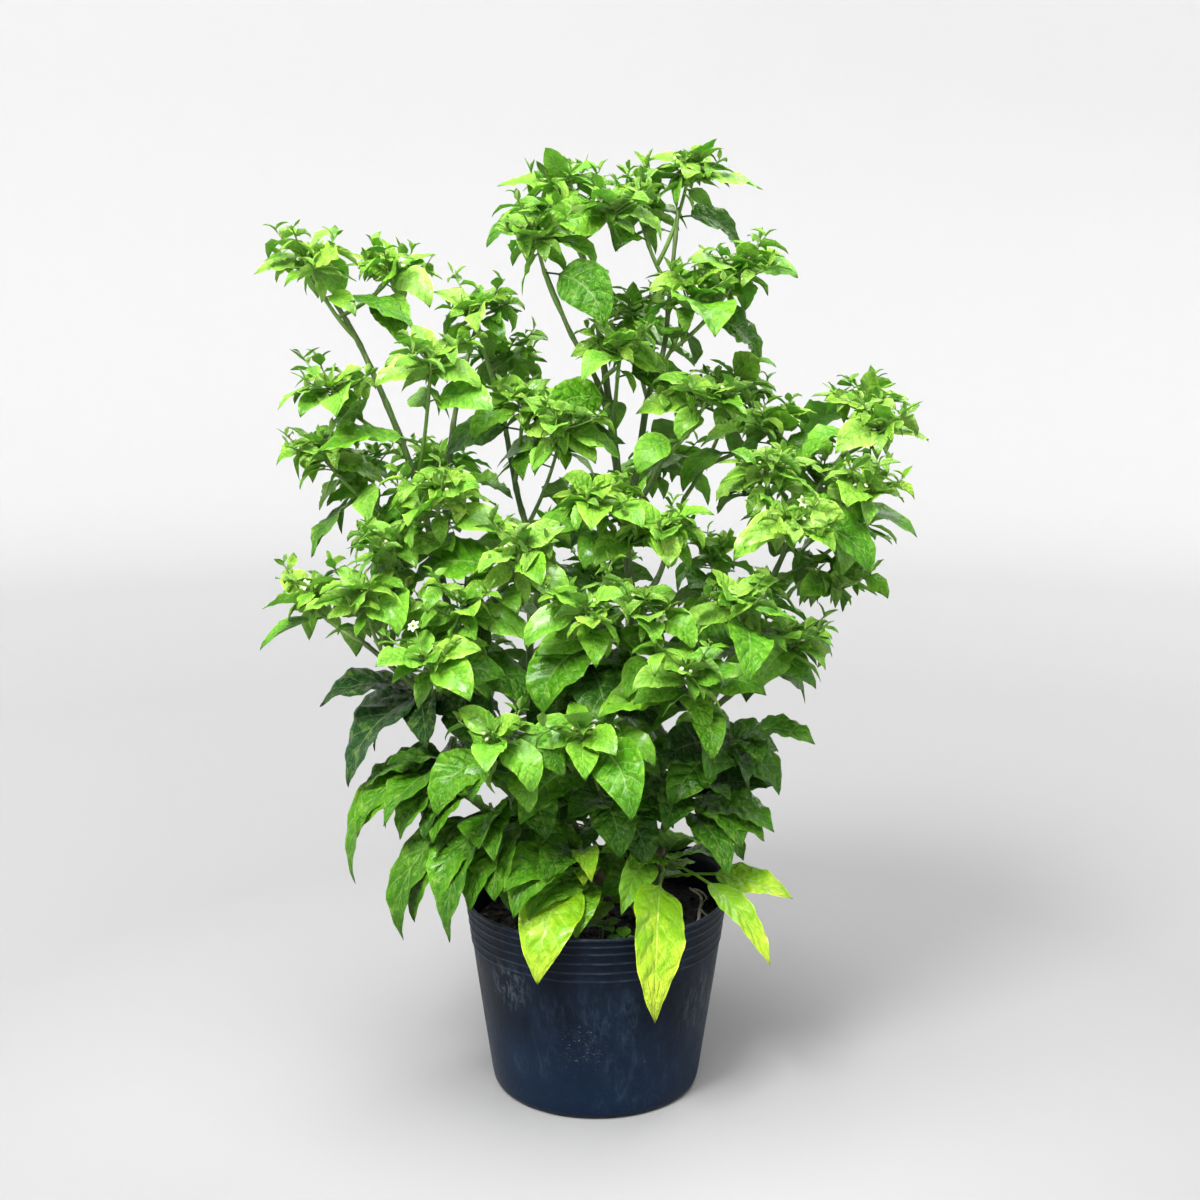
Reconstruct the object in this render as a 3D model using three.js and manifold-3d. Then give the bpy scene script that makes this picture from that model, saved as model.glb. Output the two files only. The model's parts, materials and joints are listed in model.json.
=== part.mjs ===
// A chilli pepper plant in a soft nursery pot: pot, potting soil, a dry twig lying on the soil,
// the forked woody stem, and a solid for each leafy shoot or spray, with its leaves grown on.
// Millimetres, +Z up, front at -Y. Origin: middle of the pot's underside, on the floor.
import * as THREE from 'three';
import { mergeVertices } from 'three/addons/utils/BufferGeometryUtils.js';
import Module from 'manifold-3d';

const wasm = await Module();
wasm.setup();
const { Manifold } = wasm;

const clearance = 0.35;

// Pot: a tapered cup of thin plastic with fine hoops below the rim and a mouth pulled out of round
const pot = {
  height: 178, rimRadius: 120, footRadius: 94.5, cornerRadius: 8, wall: 1.6, floor: 3,
  hoopDepths: [8, 15, 24, 33, 41], hoopHeight: 3, hoopProud: 1,
  lipDepth: 3, lipProud: 1.2,
  drainHoles: 4, drainRing: 62, drainRadius: 6,
  segments: 34,
  liftHeight: 20, liftFrom: 100, liftAngle: 25, liftSpread: 34,
};

// Soil: fills the pot to a little below the rim, with a round hole where the trunk stands
const soil = { top: 147, wallGap: 0.6, floorGap: 0.4, rings: [0.25, 0.5, 0.75, 0.92], unevenness: 2.2 };
const trunk = { x: 40, y: 5, foot: 92, fork: 162, radius: 8 };

// Dry twig: a main stick and side forks, resting on the soil right of the trunk
const dryTwig = {
  lift: 1.2,
  sticks: [
    { radius: 1.7, path: [[90, -34], [96, 4], [99, 34], [90, 58]] },
    { radius: 1.3, path: [[98, 18], [104, 28], [101, 42], [94, 54]] },
    { radius: 1.1, path: [[97, 10], [103, -8], [100, -30]] },
  ],
};

// Woody stem: each fork follows the points below, thinning from its first radius to its last
const stems = [
  { name: 'left', radii: [5.6, 2.0], path: [[40, 5, 158], [5, 0, 188], [-30, -5, 238], [-80, -10, 320],
    [-120, -10, 405], [-140, -5, 485], [-165, 0, 575], [-200, -5, 665], [-225, -10, 712]] },
  { name: 'leftFork', radii: [3.2, 1.6], path: [[-138, -6, 478], [-131, 15, 530], [-128, 20, 591],
    [-116, 25, 651], [-102, 30, 700]] },
  { name: 'leftLow', radii: [3.6, 1.8], path: [[-80, -10, 320], [-135, -40, 358], [-165, -50, 388],
    [-190, -54, 412], [-212, -52, 430]] },
  { name: 'centreLeft', radii: [5.0, 1.8], path: [[40, 5, 158], [15, 14, 185], [-20, 20, 232],
    [-52, 26, 315], [-60, 26, 400], [-52, 25, 470], [-70, 25, 540], [-85, 30, 625], [-96, 34, 672]] },
  { name: 'centre', radii: [6.4, 2.0], path: [[40, 5, 158], [44, 6, 225], [36, 5, 290], [30, 5, 350],
    [34, 5, 415], [28, 0, 490], [16, 0, 590], [8, -6, 650], [-2, -10, 715], [-18, -10, 775]] },
  { name: 'centreFork', radii: [2.8, 1.6], path: [[12, -3, 610], [0, -20, 645], [-22, -34, 685],
    [-42, -46, 735]] },
  { name: 'centreRight', radii: [3.6, 1.7], path: [[24, 0, 520], [36, 12, 560], [46, 16, 625],
    [60, 20, 668], [65, 20, 715], [72, 20, 790]] },
  { name: 'right', radii: [5.4, 2.2], path: [[40, 5, 158], [54, 0, 190], [61, -10, 232], [72, -16, 280],
    [86, -30, 328], [108, -40, 362], [140, -52, 390]] },
  { name: 'rightInner', radii: [3.2, 1.7], path: [[32, 4, 440], [55, 24, 462], [68, 34, 498],
    [80, 38, 535]] },
  { name: 'rightHigh', radii: [4.0, 1.9], path: [[82, -25, 315], [108, 0, 365], [132, 12, 415],
    [158, 20, 462], [180, 16, 512], [205, 10, 560]] },
  { name: 'frontHigh', radii: [2.8, 1.6], path: [[25, 0, 510], [50, -28, 560], [66, -45, 595]] },
];

// Leafy shoots: every tip carries a flat whorl of young leaves, and the twig below it older ones.
// A shoot springs from the woody stem's nearest point to from, or to a point well below its tip.
const shoots = [
  { name: 'shoot_top_centre', tips: [[-30, -12, 812], [14, -44, 782]] },
  { name: 'shoot_top_left_of_centre', tips: [[-50, -58, 768]] },
  { name: 'shoot_top_right', tips: [[36, 36, 800], [82, 20, 826]] },
  { name: 'shoot_upper_right', tips: [[84, -26, 722], [128, 12, 744]] },
  { name: 'shoot_upper_front', tips: [[20, -62, 672]], from: [15, -1, 600] },
  { name: 'shoot_upper_back', tips: [[32, 64, 706]] },
  { name: 'shoot_top_left', tips: [[-245, -22, 748], [-176, 22, 736]] },
  { name: 'shoot_left_of_centre_top', tips: [[-104, 2, 708], [-84, 66, 660]] },
  { name: 'shoot_left_of_centre_front', tips: [[-136, -62, 668]], from: [-158, -2, 546] },
  { name: 'shoot_left_high', tips: [[-226, -40, 640]], from: [-170, 0, 588] },
  { name: 'shoot_left_far', tips: [[-238, -34, 586], [-214, 28, 562]], from: [-146, -4, 502] },
  { name: 'shoot_centre_left_front', tips: [[-62, -22, 628], [-24, -76, 606]] },
  { name: 'shoot_right_of_centre_front', tips: [[94, -64, 632]], from: [58, -36, 578] },
  { name: 'shoot_right_of_centre_back', tips: [[128, 54, 646], [158, 12, 604]] },
  { name: 'shoot_right_top', tips: [[246, 46, 626], [246, -26, 604]] },
  { name: 'shoot_right_front', tips: [[142, -78, 574], [162, -114, 530]] },
  { name: 'shoot_right_far', tips: [[232, -62, 556], [206, 66, 552]] },
  { name: 'shoot_right_edge', tips: [[232, 6, 516], [214, -6, 458]] },
  { name: 'shoot_right_low_front', tips: [[168, -84, 428], [114, -118, 470]] },
  { name: 'shoot_right_low_back', tips: [[152, 58, 442]] },
  { name: 'shoot_front_right', tips: [[74, -150, 416], [38, -122, 468]] },
  { name: 'shoot_front_centre', tips: [[-8, -146, 468]] },
  { name: 'shoot_front_high', tips: [[-2, -98, 552], [58, -104, 524]] },
  { name: 'shoot_front_left', tips: [[-58, -110, 514]] },
  { name: 'shoot_left_front', tips: [[-108, -116, 468], [-136, -146, 424]] },
  { name: 'shoot_left_low', tips: [[-248, -46, 458]], from: [-200, -53, 420] },
  { name: 'shoot_left_low_front', tips: [[-192, -106, 474], [-166, -92, 516]] },
  { name: 'shoot_left_mid_front', tips: [[-130, -88, 556]] },
  { name: 'shoot_lime_front', tips: [[-82, -162, 368]], from: [-50, -7, 272] },
  { name: 'shoot_front_low', tips: [[-12, -156, 368]], from: [36, 5, 302] },
  { name: 'shoot_back_high', tips: [[-30, 104, 604], [72, 122, 560]] },
  { name: 'shoot_back_left', tips: [[-150, 112, 566], [-200, 92, 492]] },
  { name: 'shoot_back_centre', tips: [[-70, 154, 488], [8, 164, 446]] },
  { name: 'shoot_back_right', tips: [[112, 148, 470], [166, 122, 384]] },
  { name: 'shoot_back_low_left', tips: [[-132, 128, 392]] },
  { name: 'shoot_back_low', tips: [[20, 142, 330], [-60, 150, 340]] },
];

// Sprays of old leaves: a short side twig, and leaves set by their root (as a fraction along the
// twig), tip, width and droop in degrees
const sprays = [
  { name: 'spray_front', radius: 2.6, twig: [[50, 1, 180], [59, -9, 190], [62, -12, 214]], leaves: [
    { at: 0.55, tip: [50, -142, 112], width: 52, droop: 118, petiole: 0.3 },
    { at: 0.9, tip: [150, -106, 148], width: 30, droop: 58, petiole: 0.38 },
    { at: 0.45, tip: [174, -62, 192], width: 34, droop: 42, petiole: 0.42 },
    { at: 0.2, tip: [104, -48, 226], width: 44, droop: 55, petiole: 0.2 },
    { at: 0.9, tip: [22, -104, 192], width: 32, droop: 80, petiole: 0.3 },
    { at: 0.3, tip: [4, -70, 196], width: 32, droop: 60, petiole: 0.3 }] },
  { name: 'spray_front_left', radius: 2.6,
    twig: [[26, 4, 172], [8, -26, 186], [-10, -48, 208], [-14, -54, 238]], leaves: [
    { at: 0.6, tip: [-48, -142, 146], width: 54, droop: 100, petiole: 0.25 },
    { at: 0.85, tip: [-68, -138, 202], width: 46, droop: 95, petiole: 0.25 },
    { at: 0.9, tip: [-3, -138, 234], width: 24, droop: 60, petiole: 0.2 },
    { at: 0.4, tip: [-16, -122, 178], width: 36, droop: 85, petiole: 0.3 },
    { at: 0.95, tip: [-80, -116, 256], width: 44, droop: 60, petiole: 0.2 },
    { at: 0.2, tip: [-38, -40, 176], width: 36, droop: 60, petiole: 0.2 }] },
  { name: 'spray_left_low', radius: 2.4,
    twig: [[-30, -5, 238], [-58, -32, 240], [-84, -52, 250], [-92, -58, 278]], leaves: [
    { at: 0.6, tip: [-84, -130, 214], width: 56, droop: 90, petiole: 0.2 },
    { at: 0.85, tip: [-122, -130, 178], width: 38, droop: 100, petiole: 0.2 },
    { at: 0.95, tip: [-164, -104, 170], width: 40, droop: 105, petiole: 0.2 },
    { at: 0.4, tip: [-104, -92, 190], width: 40, droop: 80, petiole: 0.2 },
    { at: 0.95, tip: [-176, -112, 250], width: 46, droop: 70, petiole: 0.16 },
    { at: 0.3, tip: [-124, 10, 206], width: 44, droop: 70, petiole: 0.2 }] },
  { name: 'spray_left_edge', radius: 2.2, twig: [[-70, -9, 302], [-104, -28, 294], [-126, -36, 318]], leaves: [
    { at: 0.95, tip: [-210, -64, 206], width: 42, droop: 100, petiole: 0.16 },
    { at: 0.8, tip: [-178, -112, 274], width: 54, droop: 64, petiole: 0.16 },
    { at: 0.9, tip: [-206, -14, 232], width: 46, droop: 90, petiole: 0.16 },
    { at: 0.4, tip: [-132, 56, 240], width: 50, droop: 80, petiole: 0.16 },
    { at: 0.3, tip: [-138, -92, 232], width: 46, droop: 80, petiole: 0.2 },
    { at: 0.5, tip: [-196, -52, 290], width: 50, droop: 60, petiole: 0.16 }] },
  { name: 'spray_left_dark', radius: 2.2,
    twig: [[-108, -10, 374], [-132, -16, 372], [-156, -24, 366]], leaves: [
    { at: 0.35, tip: [-214, -66, 294], width: 58, droop: 80, petiole: 0.16 },
    { at: 0.9, tip: [-240, -50, 362], width: 56, droop: 75, petiole: 0.14 },
    { at: 0.95, tip: [-228, -18, 312], width: 46, droop: 85, petiole: 0.16 },
    { at: 0.6, tip: [-206, 40, 298], width: 48, droop: 85, petiole: 0.16 },
    { at: 0.2, tip: [-150, -92, 320], width: 50, droop: 80, petiole: 0.16 },
    { at: 0.5, tip: [-180, -104, 346], width: 48, droop: 70, petiole: 0.16 }] },
  { name: 'spray_centre_dark', radius: 2.4,
    twig: [[31, 5, 362], [14, -22, 366], [-6, -46, 378], [-12, -54, 406]], leaves: [
    { at: 0.95, tip: [10, -140, 364], width: 60, droop: 80, petiole: 0.2 },
    { at: 0.8, tip: [-72, -110, 384], width: 48, droop: 64, petiole: 0.16 },
    { at: 0.5, tip: [52, -92, 352], width: 48, droop: 70, petiole: 0.16 },
    { at: 0.3, tip: [-60, -44, 340], width: 46, droop: 64, petiole: 0.16 },
    { at: 0.2, tip: [86, -62, 388], width: 44, droop: 64, petiole: 0.16 },
    { at: 0.6, tip: [-62, -92, 330], width: 46, droop: 76, petiole: 0.16 }] },
  { name: 'spray_centre_low', radius: 2.4,
    twig: [[40, 6, 262], [24, -22, 268], [4, -48, 284], [-2, -56, 312]], leaves: [
    { at: 0.95, tip: [-62, -142, 284], width: 48, droop: 75, petiole: 0.2 },
    { at: 0.9, tip: [30, -142, 298], width: 40, droop: 70, petiole: 0.2 },
    { at: 0.6, tip: [4, -100, 240], width: 42, droop: 85, petiole: 0.2 },
    { at: 0.45, tip: [-52, -66, 252], width: 46, droop: 70, petiole: 0.16 },
    { at: 0.2, tip: [44, -66, 222], width: 40, droop: 76, petiole: 0.2 },
    { at: 0.7, tip: [-72, -60, 300], width: 46, droop: 64, petiole: 0.16 }] },
  { name: 'spray_right_low', radius: 2.4, twig: [[64, -12, 246], [76, -22, 262], [84, -30, 280]], leaves: [
    { at: 0.95, tip: [162, -40, 288], width: 46, droop: 60, petiole: 0.16 },
    { at: 0.6, tip: [156, -66, 254], width: 50, droop: 62, petiole: 0.16 },
    { at: 0.3, tip: [114, -92, 222], width: 40, droop: 80, petiole: 0.2 },
    { at: 0.9, tip: [34, -92, 266], width: 38, droop: 70, petiole: 0.2 },
    { at: 0.8, tip: [132, 34, 264], width: 46, droop: 66, petiole: 0.16 },
    { at: 0.5, tip: [104, -108, 274], width: 44, droop: 74, petiole: 0.2 }] },
  { name: 'spray_right_mid', radius: 2.2, twig: [[86, -30, 327], [104, -46, 326], [122, -56, 332]], leaves: [
    { at: 0.5, tip: [164, -14, 312], width: 40, droop: 70, petiole: 0.16 },
    { at: 0.95, tip: [186, -94, 340], width: 42, droop: 74, petiole: 0.16 },
    { at: 0.8, tip: [92, -128, 318], width: 44, droop: 70, petiole: 0.16 },
    { at: 0.3, tip: [56, -96, 322], width: 42, droop: 64, petiole: 0.2 }] },
  { name: 'spray_back_low', radius: 2.4, twig: [[10, 16, 192], [-4, 42, 216], [-18, 70, 236]], leaves: [
    { at: 0.95, tip: [-54, 148, 178], width: 54, droop: 95, petiole: 0.2 },
    { at: 0.9, tip: [28, 150, 194], width: 52, droop: 90, petiole: 0.2 },
    { at: 0.7, tip: [-104, 86, 212], width: 52, droop: 80, petiole: 0.16 },
    { at: 0.4, tip: [70, 96, 208], width: 46, droop: 70, petiole: 0.16 },
    { at: 0.6, tip: [-14, 152, 250], width: 48, droop: 64, petiole: 0.2 }] },
  { name: 'spray_back_right', radius: 2.2, twig: [[40, 6, 268], [60, 30, 282], [82, 54, 296]], leaves: [
    { at: 0.95, tip: [156, 112, 258], width: 54, droop: 84, petiole: 0.16 },
    { at: 0.8, tip: [62, 142, 264], width: 52, droop: 80, petiole: 0.16 },
    { at: 0.6, tip: [158, 44, 302], width: 46, droop: 60, petiole: 0.16 },
    { at: 0.3, tip: [112, 96, 222], width: 46, droop: 80, petiole: 0.16 }] },
];

// Young leaves round a tip, old leaves down the twig: lengths in millimetres, angles in degrees
const whorl = {
  leaves: 6, segments: 2, outerLength: 60, innerLength: 36, widthShare: 0.54, outerLift: 6, innerLift: 56,
  outerDroop: 72, innerDroop: 46, from: 0.82, petiole: 0.12,
};
const twigLeaf = { spacing: 36, length: 82, widthShare: 0.52, lift: 16, droop: 82, petiole: 0.18, from: 0.22 };
const twigShape = {
  footRadius: 2.0, tipRadius: 1.4, budLength: 5, sides: 4, collar: 2.5, forkShare: 0.3, leastFacing: 0.15,
};
const sprayTwig = { from: 0.3, taper: 0.6 };
const footing = { inwardX: 0.92, inwardY: 0.7, below: 78, leastBelow: 24, steps: 60 };
const blade = { thickness: 1.3, petioleHalf: 1.1, fold: 14, wave: 0.05, droopPower: 1.4, steps: 24 };
const facing = { roll: 46, reach: 80, front: 0.9 };
const goldenAngle = 137.508;

// Ways to move a leaf that would touch another solid: turn, lift (degrees) and length share
const shifts = [[0, 0, 1], [20, 0, 1], [-20, 0, 1], [0, 18, 1], [0, -18, 1], [40, 0, 1], [-40, 0, 1],
  [26, 22, 0.9], [-26, 22, 0.9], [26, -22, 0.9], [-26, -22, 0.9], [62, 0, 0.86], [-62, 0, 0.86],
  [0, 36, 0.8], [90, 12, 0.8], [-90, 12, 0.8], [140, 10, 0.76]];

const degrees = Math.PI / 180;
const mix = (from, to, share) => from + (to - from) * share;

// A repeatable stream of numbers from 0 to 1
function randomStream(seed) {
  let state = Math.imul(seed + 1, 2654435761) >>> 0;
  const next = () => {
    state = (Math.imul(state, 1664525) + 1013904223) >>> 0;
    return state / 4294967296;
  };
  next();
  next();
  return next;
}

// Solid from corner points and triangles, turned right side out
function solidOf(points, triangles) {
  const make = (order) => new Manifold(new wasm.Mesh({
    numProp: 3,
    vertProperties: new Float32Array(points.flat()),
    triVerts: new Uint32Array(order.flat()),
  }));
  const solid = make(triangles);
  if (solid.volume() > 0) return solid;
  return make(triangles.map(([a, b, c]) => [a, c, b]));
}

// Solid from a closed three.js geometry
function solidFromGeometry(geometry) {
  geometry.deleteAttribute('normal');
  geometry.deleteAttribute('uv');
  const merged = mergeVertices(geometry, 1e-4);
  const points = [];
  for (let i = 0; i < merged.attributes.position.count; i += 1) {
    points.push(new THREE.Vector3().fromBufferAttribute(merged.attributes.position, i).toArray());
  }
  const triangles = [];
  for (let i = 0; i < merged.index.count; i += 3) {
    const corners = [merged.index.getX(i), merged.index.getX(i + 1), merged.index.getX(i + 2)];
    if (new Set(corners).size === 3) triangles.push(corners);
  }
  return solidOf(points, triangles);
}

// Triangles of the band between two rings of corner numbers, or between a ring and a tip
function bandTriangles(ring, next) {
  const triangles = [];
  ring.forEach((corner, k) => {
    const after = ring[(k + 1) % ring.length];
    if (next.length === 1) {
      triangles.push([corner, after, next[0]]);
      return;
    }
    const across = next[k];
    const beyond = next[(k + 1) % next.length];
    if (k % 2 === 0) triangles.push([corner, after, beyond], [corner, beyond, across]);
    else triangles.push([corner, after, across], [after, beyond, across]);
  });
  return triangles;
}

// Triangles of the flat end of a tube
const endTriangles = (ring) => ring.slice(1, -1).map((corner, k) => [ring[0], ring[k + 2], corner]);

// Solid over a row of rings, closed by flat ends; a ring of one point is a tip
function loftSolid(rings) {
  const points = [];
  const numbered = rings.map((ring) => ring.map((point) => points.push(point) - 1));
  const triangles = endTriangles(numbered[0]);
  for (let i = 0; i + 1 < numbered.length; i += 1) {
    triangles.push(...bandTriangles(numbered[i], numbered[i + 1]));
  }
  const last = numbered[numbered.length - 1];
  triangles.push(...endTriangles([...last].reverse()));
  return solidOf(points, triangles);
}

// Rings of corners round a curve at some shares of it, with their radii
function tubeRings(points, radii, sides) {
  let side = null;
  return points.map((point, i) => {
    const before = points[Math.max(i - 1, 0)];
    const after = points[Math.min(i + 1, points.length - 1)];
    const along = after.clone().sub(before).normalize();
    if (side === null) {
      side = Math.abs(along.y) < 0.8 ? new THREE.Vector3(0, 1, 0) : new THREE.Vector3(1, 0, 0);
    }
    side = side.clone().addScaledVector(along, -side.dot(along)).normalize();
    const across = along.clone().cross(side);
    const ring = [];
    for (let k = 0; k < sides; k += 1) {
      const angle = (2 * Math.PI * k) / sides;
      const corner = point.clone()
        .addScaledVector(side, radii[i] * Math.cos(angle))
        .addScaledVector(across, radii[i] * Math.sin(angle));
      ring.push(corner.toArray());
    }
    return ring;
  });
}

// Round tube along points, with its own radius at each
const tubeSolid = (points, radii, sides) => loftSolid(tubeRings(points, radii, sides));

// Smooth curve through the points of a path
function curveOf(path) {
  const points = path.map(([x, y, z]) => new THREE.Vector3(x, y, z));
  return new THREE.CatmullRomCurve3(points, false, 'catmullrom', 0.5);
}

// Height that the pulled mouth adds at a place, growing from the pot's middle to its wall
function mouthLift(x, y, z) {
  const climb = THREE.MathUtils.smoothstep(z, pot.liftFrom, pot.height);
  const turn = Math.atan2(y, x) / degrees - pot.liftAngle;
  const near = Math.exp(-((turn / pot.liftSpread) ** 2));
  const out = Math.min(1, Math.hypot(x, y) / pot.rimRadius) ** 2;
  return pot.liftHeight * climb * near * out;
}

const liftMouth = (solid) => solid.warp((point) => {
  point[2] += mouthLift(point[0], point[1], point[2]);
});

const wallRadius = (z) => mix(pot.footRadius, pot.rimRadius, z / pot.height);

function makePot() {
  const profile = [new THREE.Vector2(0, 0)];
  const corner = pot.cornerRadius;
  for (let i = 0; i <= 2; i += 1) {
    const angle = (i / 2) * 80 * degrees;
    profile.push(new THREE.Vector2(
      wallRadius(corner) - corner + corner * Math.sin(angle) - 0.4,
      corner - corner * Math.cos(angle),
    ));
  }
  const hoops = [...pot.hoopDepths].reverse();
  for (const depth of hoops) {
    const z = pot.height - depth;
    profile.push(new THREE.Vector2(wallRadius(z) + pot.hoopProud, z));
    profile.push(new THREE.Vector2(wallRadius(z + pot.hoopHeight), z + pot.hoopHeight));
  }
  profile.push(new THREE.Vector2(wallRadius(pot.height) + pot.lipProud, pot.height - pot.lipDepth / 2));
  profile.push(new THREE.Vector2(wallRadius(pot.height), pot.height));
  profile.push(new THREE.Vector2(wallRadius(pot.height) - pot.wall, pot.height));
  for (const z of [150, 125, pot.liftFrom, pot.floor + corner / 2]) {
    profile.push(new THREE.Vector2(wallRadius(z) - pot.wall, z));
  }
  profile.push(new THREE.Vector2(wallRadius(pot.floor) - pot.wall - corner / 2, pot.floor));
  profile.push(new THREE.Vector2(0, pot.floor));
  let solid = solidFromGeometry(turned(profile, pot.segments));
  for (let i = 0; i < pot.drainHoles; i += 1) {
    const angle = (2 * Math.PI * i) / pot.drainHoles;
    const hole = new THREE.CylinderGeometry(pot.drainRadius, pot.drainRadius, pot.floor * 4, 8);
    hole.rotateX(Math.PI / 2);
    hole.translate(pot.drainRing * Math.cos(angle), pot.drainRing * Math.sin(angle), pot.floor / 2);
    solid = solid.subtract(solidFromGeometry(hole));
  }
  return liftMouth(solid);
}

// Profile turned round the Z axis
function turned(profile, segments) {
  const geometry = new THREE.LatheGeometry(profile, segments);
  geometry.rotateX(Math.PI / 2);
  return geometry;
}

function makeSoil() {
  const wall = (z) => wallRadius(z) - pot.wall - soil.wallGap;
  const foot = pot.floor + soil.floorGap;
  const profile = [new THREE.Vector2(0, foot)];
  profile.push(new THREE.Vector2(wall(foot) - pot.cornerRadius / 2 - soil.wallGap, foot));
  for (const z of [foot + pot.cornerRadius / 2, pot.liftFrom, 125]) {
    profile.push(new THREE.Vector2(wall(z), z));
  }
  profile.push(new THREE.Vector2(wall(soil.top), soil.top));
  for (const share of [...soil.rings].reverse()) {
    profile.push(new THREE.Vector2(wall(soil.top) * share, soil.top));
  }
  profile.push(new THREE.Vector2(0, soil.top));
  const next = randomStream(7);
  const uneven = solidFromGeometry(turned(profile, pot.segments / 2)).warp((point) => {
    const nearWall = Math.hypot(point[0], point[1]) > wall(soil.top) * 0.97;
    if (point[2] > soil.top - 1 && !nearWall) point[2] += soil.unevenness * (next() - 0.5);
  });
  const hole = new THREE.CylinderGeometry(trunk.radius + clearance, trunk.radius + clearance, 120, 16);
  hole.rotateX(Math.PI / 2);
  hole.translate(trunk.x, trunk.y, trunk.foot - clearance + 60);
  return liftMouth(uneven.subtract(solidFromGeometry(hole)));
}

function makeDryTwig() {
  const sticks = dryTwig.sticks.map(({ radius, path }) => {
    const points = path.map(([x, y]) => {
      const ground = soil.top + soil.unevenness / 2;
      return new THREE.Vector3(x, y, ground + dryTwig.lift + mouthLift(x, y, ground));
    });
    return tubeSolid(points, points.map((point, i) => radius * (1 - 0.12 * i)), 5);
  });
  return Manifold.union(sticks);
}

// Woody stem, grown outwards by extra millimetres where its clearance is wanted
function makeStem(extra = 0) {
  const stand = [trunk.foot, mix(trunk.foot, trunk.fork, 0.6), trunk.fork, trunk.fork + 10];
  const widths = [trunk.radius, trunk.radius, trunk.radius * 0.96, trunk.radius * 0.5];
  const parts = [tubeSolid(
    stand.map((z) => new THREE.Vector3(trunk.x, trunk.y, z)),
    widths.map((width) => width + extra),
    10,
  )];
  for (const stem of stems) {
    const curve = curveOf(stem.path);
    const steps = stem.path.length;
    const points = curve.getPoints(steps);
    const radii = points.map((point, i) => mix(stem.radii[0], stem.radii[1], i / steps) + extra);
    parts.push(tubeSolid(points, radii, stem.radii[0] > 4.5 ? 6 : 4));
  }
  return Manifold.union(parts);
}

// Direction and place along a blade whose slope falls off with the droop and whose bearing swerves
function bladePath(leaf) {
  const spine = [{ place: leaf.root.clone(), slope: leaf.lift, bearing: leaf.bearing }];
  const step = leaf.length / blade.steps;
  const place = leaf.root.clone();
  for (let i = 0; i < blade.steps; i += 1) {
    const half = (i + 0.5) / blade.steps;
    const slope = leaf.lift - leaf.droop * half ** blade.droopPower;
    const bearing = leaf.bearing + leaf.swerve * half;
    place.x += step * Math.cos(slope) * Math.cos(bearing);
    place.y += step * Math.cos(slope) * Math.sin(bearing);
    place.z += step * Math.sin(slope);
    const share = (i + 1) / blade.steps;
    spine.push({
      place: place.clone(),
      slope: leaf.lift - leaf.droop * share ** blade.droopPower,
      bearing: leaf.bearing + leaf.swerve * share,
    });
  }
  return spine;
}

// Half the width of a pointed oval blade, widest a third of the way along
const ovalWidth = (share) => 3.016 * share ** 0.6 * (1 - share) ** 1.1;

// Four-cornered ring across the leaf at a share of its whole length: left, top, right, bottom
function bladeRing(leaf, spine, share) {
  const slot = Math.min(share * blade.steps, blade.steps - 1e-9);
  const low = Math.floor(slot);
  const part = slot - low;
  const place = spine[low].place.clone().lerp(spine[low + 1].place, part);
  const slope = mix(spine[low].slope, spine[low + 1].slope, part);
  const bearing = mix(spine[low].bearing, spine[low + 1].bearing, part);
  const flatSide = new THREE.Vector3(-Math.sin(bearing), Math.cos(bearing), 0);
  const flatUp = new THREE.Vector3(
    -Math.sin(slope) * Math.cos(bearing),
    -Math.sin(slope) * Math.sin(bearing),
    Math.cos(slope),
  );
  const across = Math.cos(leaf.roll);
  const tilted = Math.sin(leaf.roll);
  const side = flatSide.clone().multiplyScalar(across).addScaledVector(flatUp, tilted);
  const up = flatUp.clone().multiplyScalar(across).addScaledVector(flatSide, -tilted);
  const along = Math.max(0, (share - leaf.petiole) / (1 - leaf.petiole));
  const half = Math.max(blade.petioleHalf, 0.5 * leaf.width * ovalWidth(along));
  const rise = along > 0 ? half * Math.sin(blade.fold * degrees) : 0;
  const size = blade.wave * leaf.width * Math.min(1, 4 * along * (1 - along));
  const leftWave = size * Math.sin(13 * along + leaf.wavePhase);
  const rightWave = size * Math.sin(11 * along + 2 * leaf.wavePhase + 1);
  const spread = half * Math.cos(blade.fold * degrees);
  const thick = blade.thickness / 2;
  return [
    place.clone().addScaledVector(side, spread).addScaledVector(up, rise + leftWave),
    place.clone().addScaledVector(up, thick),
    place.clone().addScaledVector(side, -spread).addScaledVector(up, rise + rightWave),
    place.clone().addScaledVector(up, -thick),
  ].map((corner) => corner.toArray());
}

// Shares along the blade where a leaf has rings, by its length
function ringShares(leaf) {
  const on = (share) => leaf.petiole + (1 - leaf.petiole) * share;
  if (leaf.length < 41) return [on(0.34)];
  if (leaf.length < 64) return [on(0.22), on(0.6)];
  if (leaf.length < 90) return [on(0.16), on(0.42), on(0.7)];
  return [leaf.petiole, on(0.2), on(0.46), on(0.74)];
}

const midOf = (corners) => corners
  .reduce((sum, corner) => sum.add(new THREE.Vector3(...corner)), new THREE.Vector3())
  .divideScalar(corners.length);

// A branch before it is skinned: its rings, and which of its facets carry a leaf
function startBranch(curve, shares, radii) {
  const points = shares.map((share) => curve.getPoint(share));
  const radiusAt = (share) => mix(radii[0], radii[1], share);
  const rings = tubeRings(points, shares.map(radiusAt), twigShape.sides);
  const along = points[points.length - 1].clone().sub(points[points.length - 2]).normalize();
  const bud = points[points.length - 1].clone().addScaledVector(along, twigShape.budLength);
  return { curve, shares, rings, bud: [bud.toArray()], grown: new Map() };
}

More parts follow.
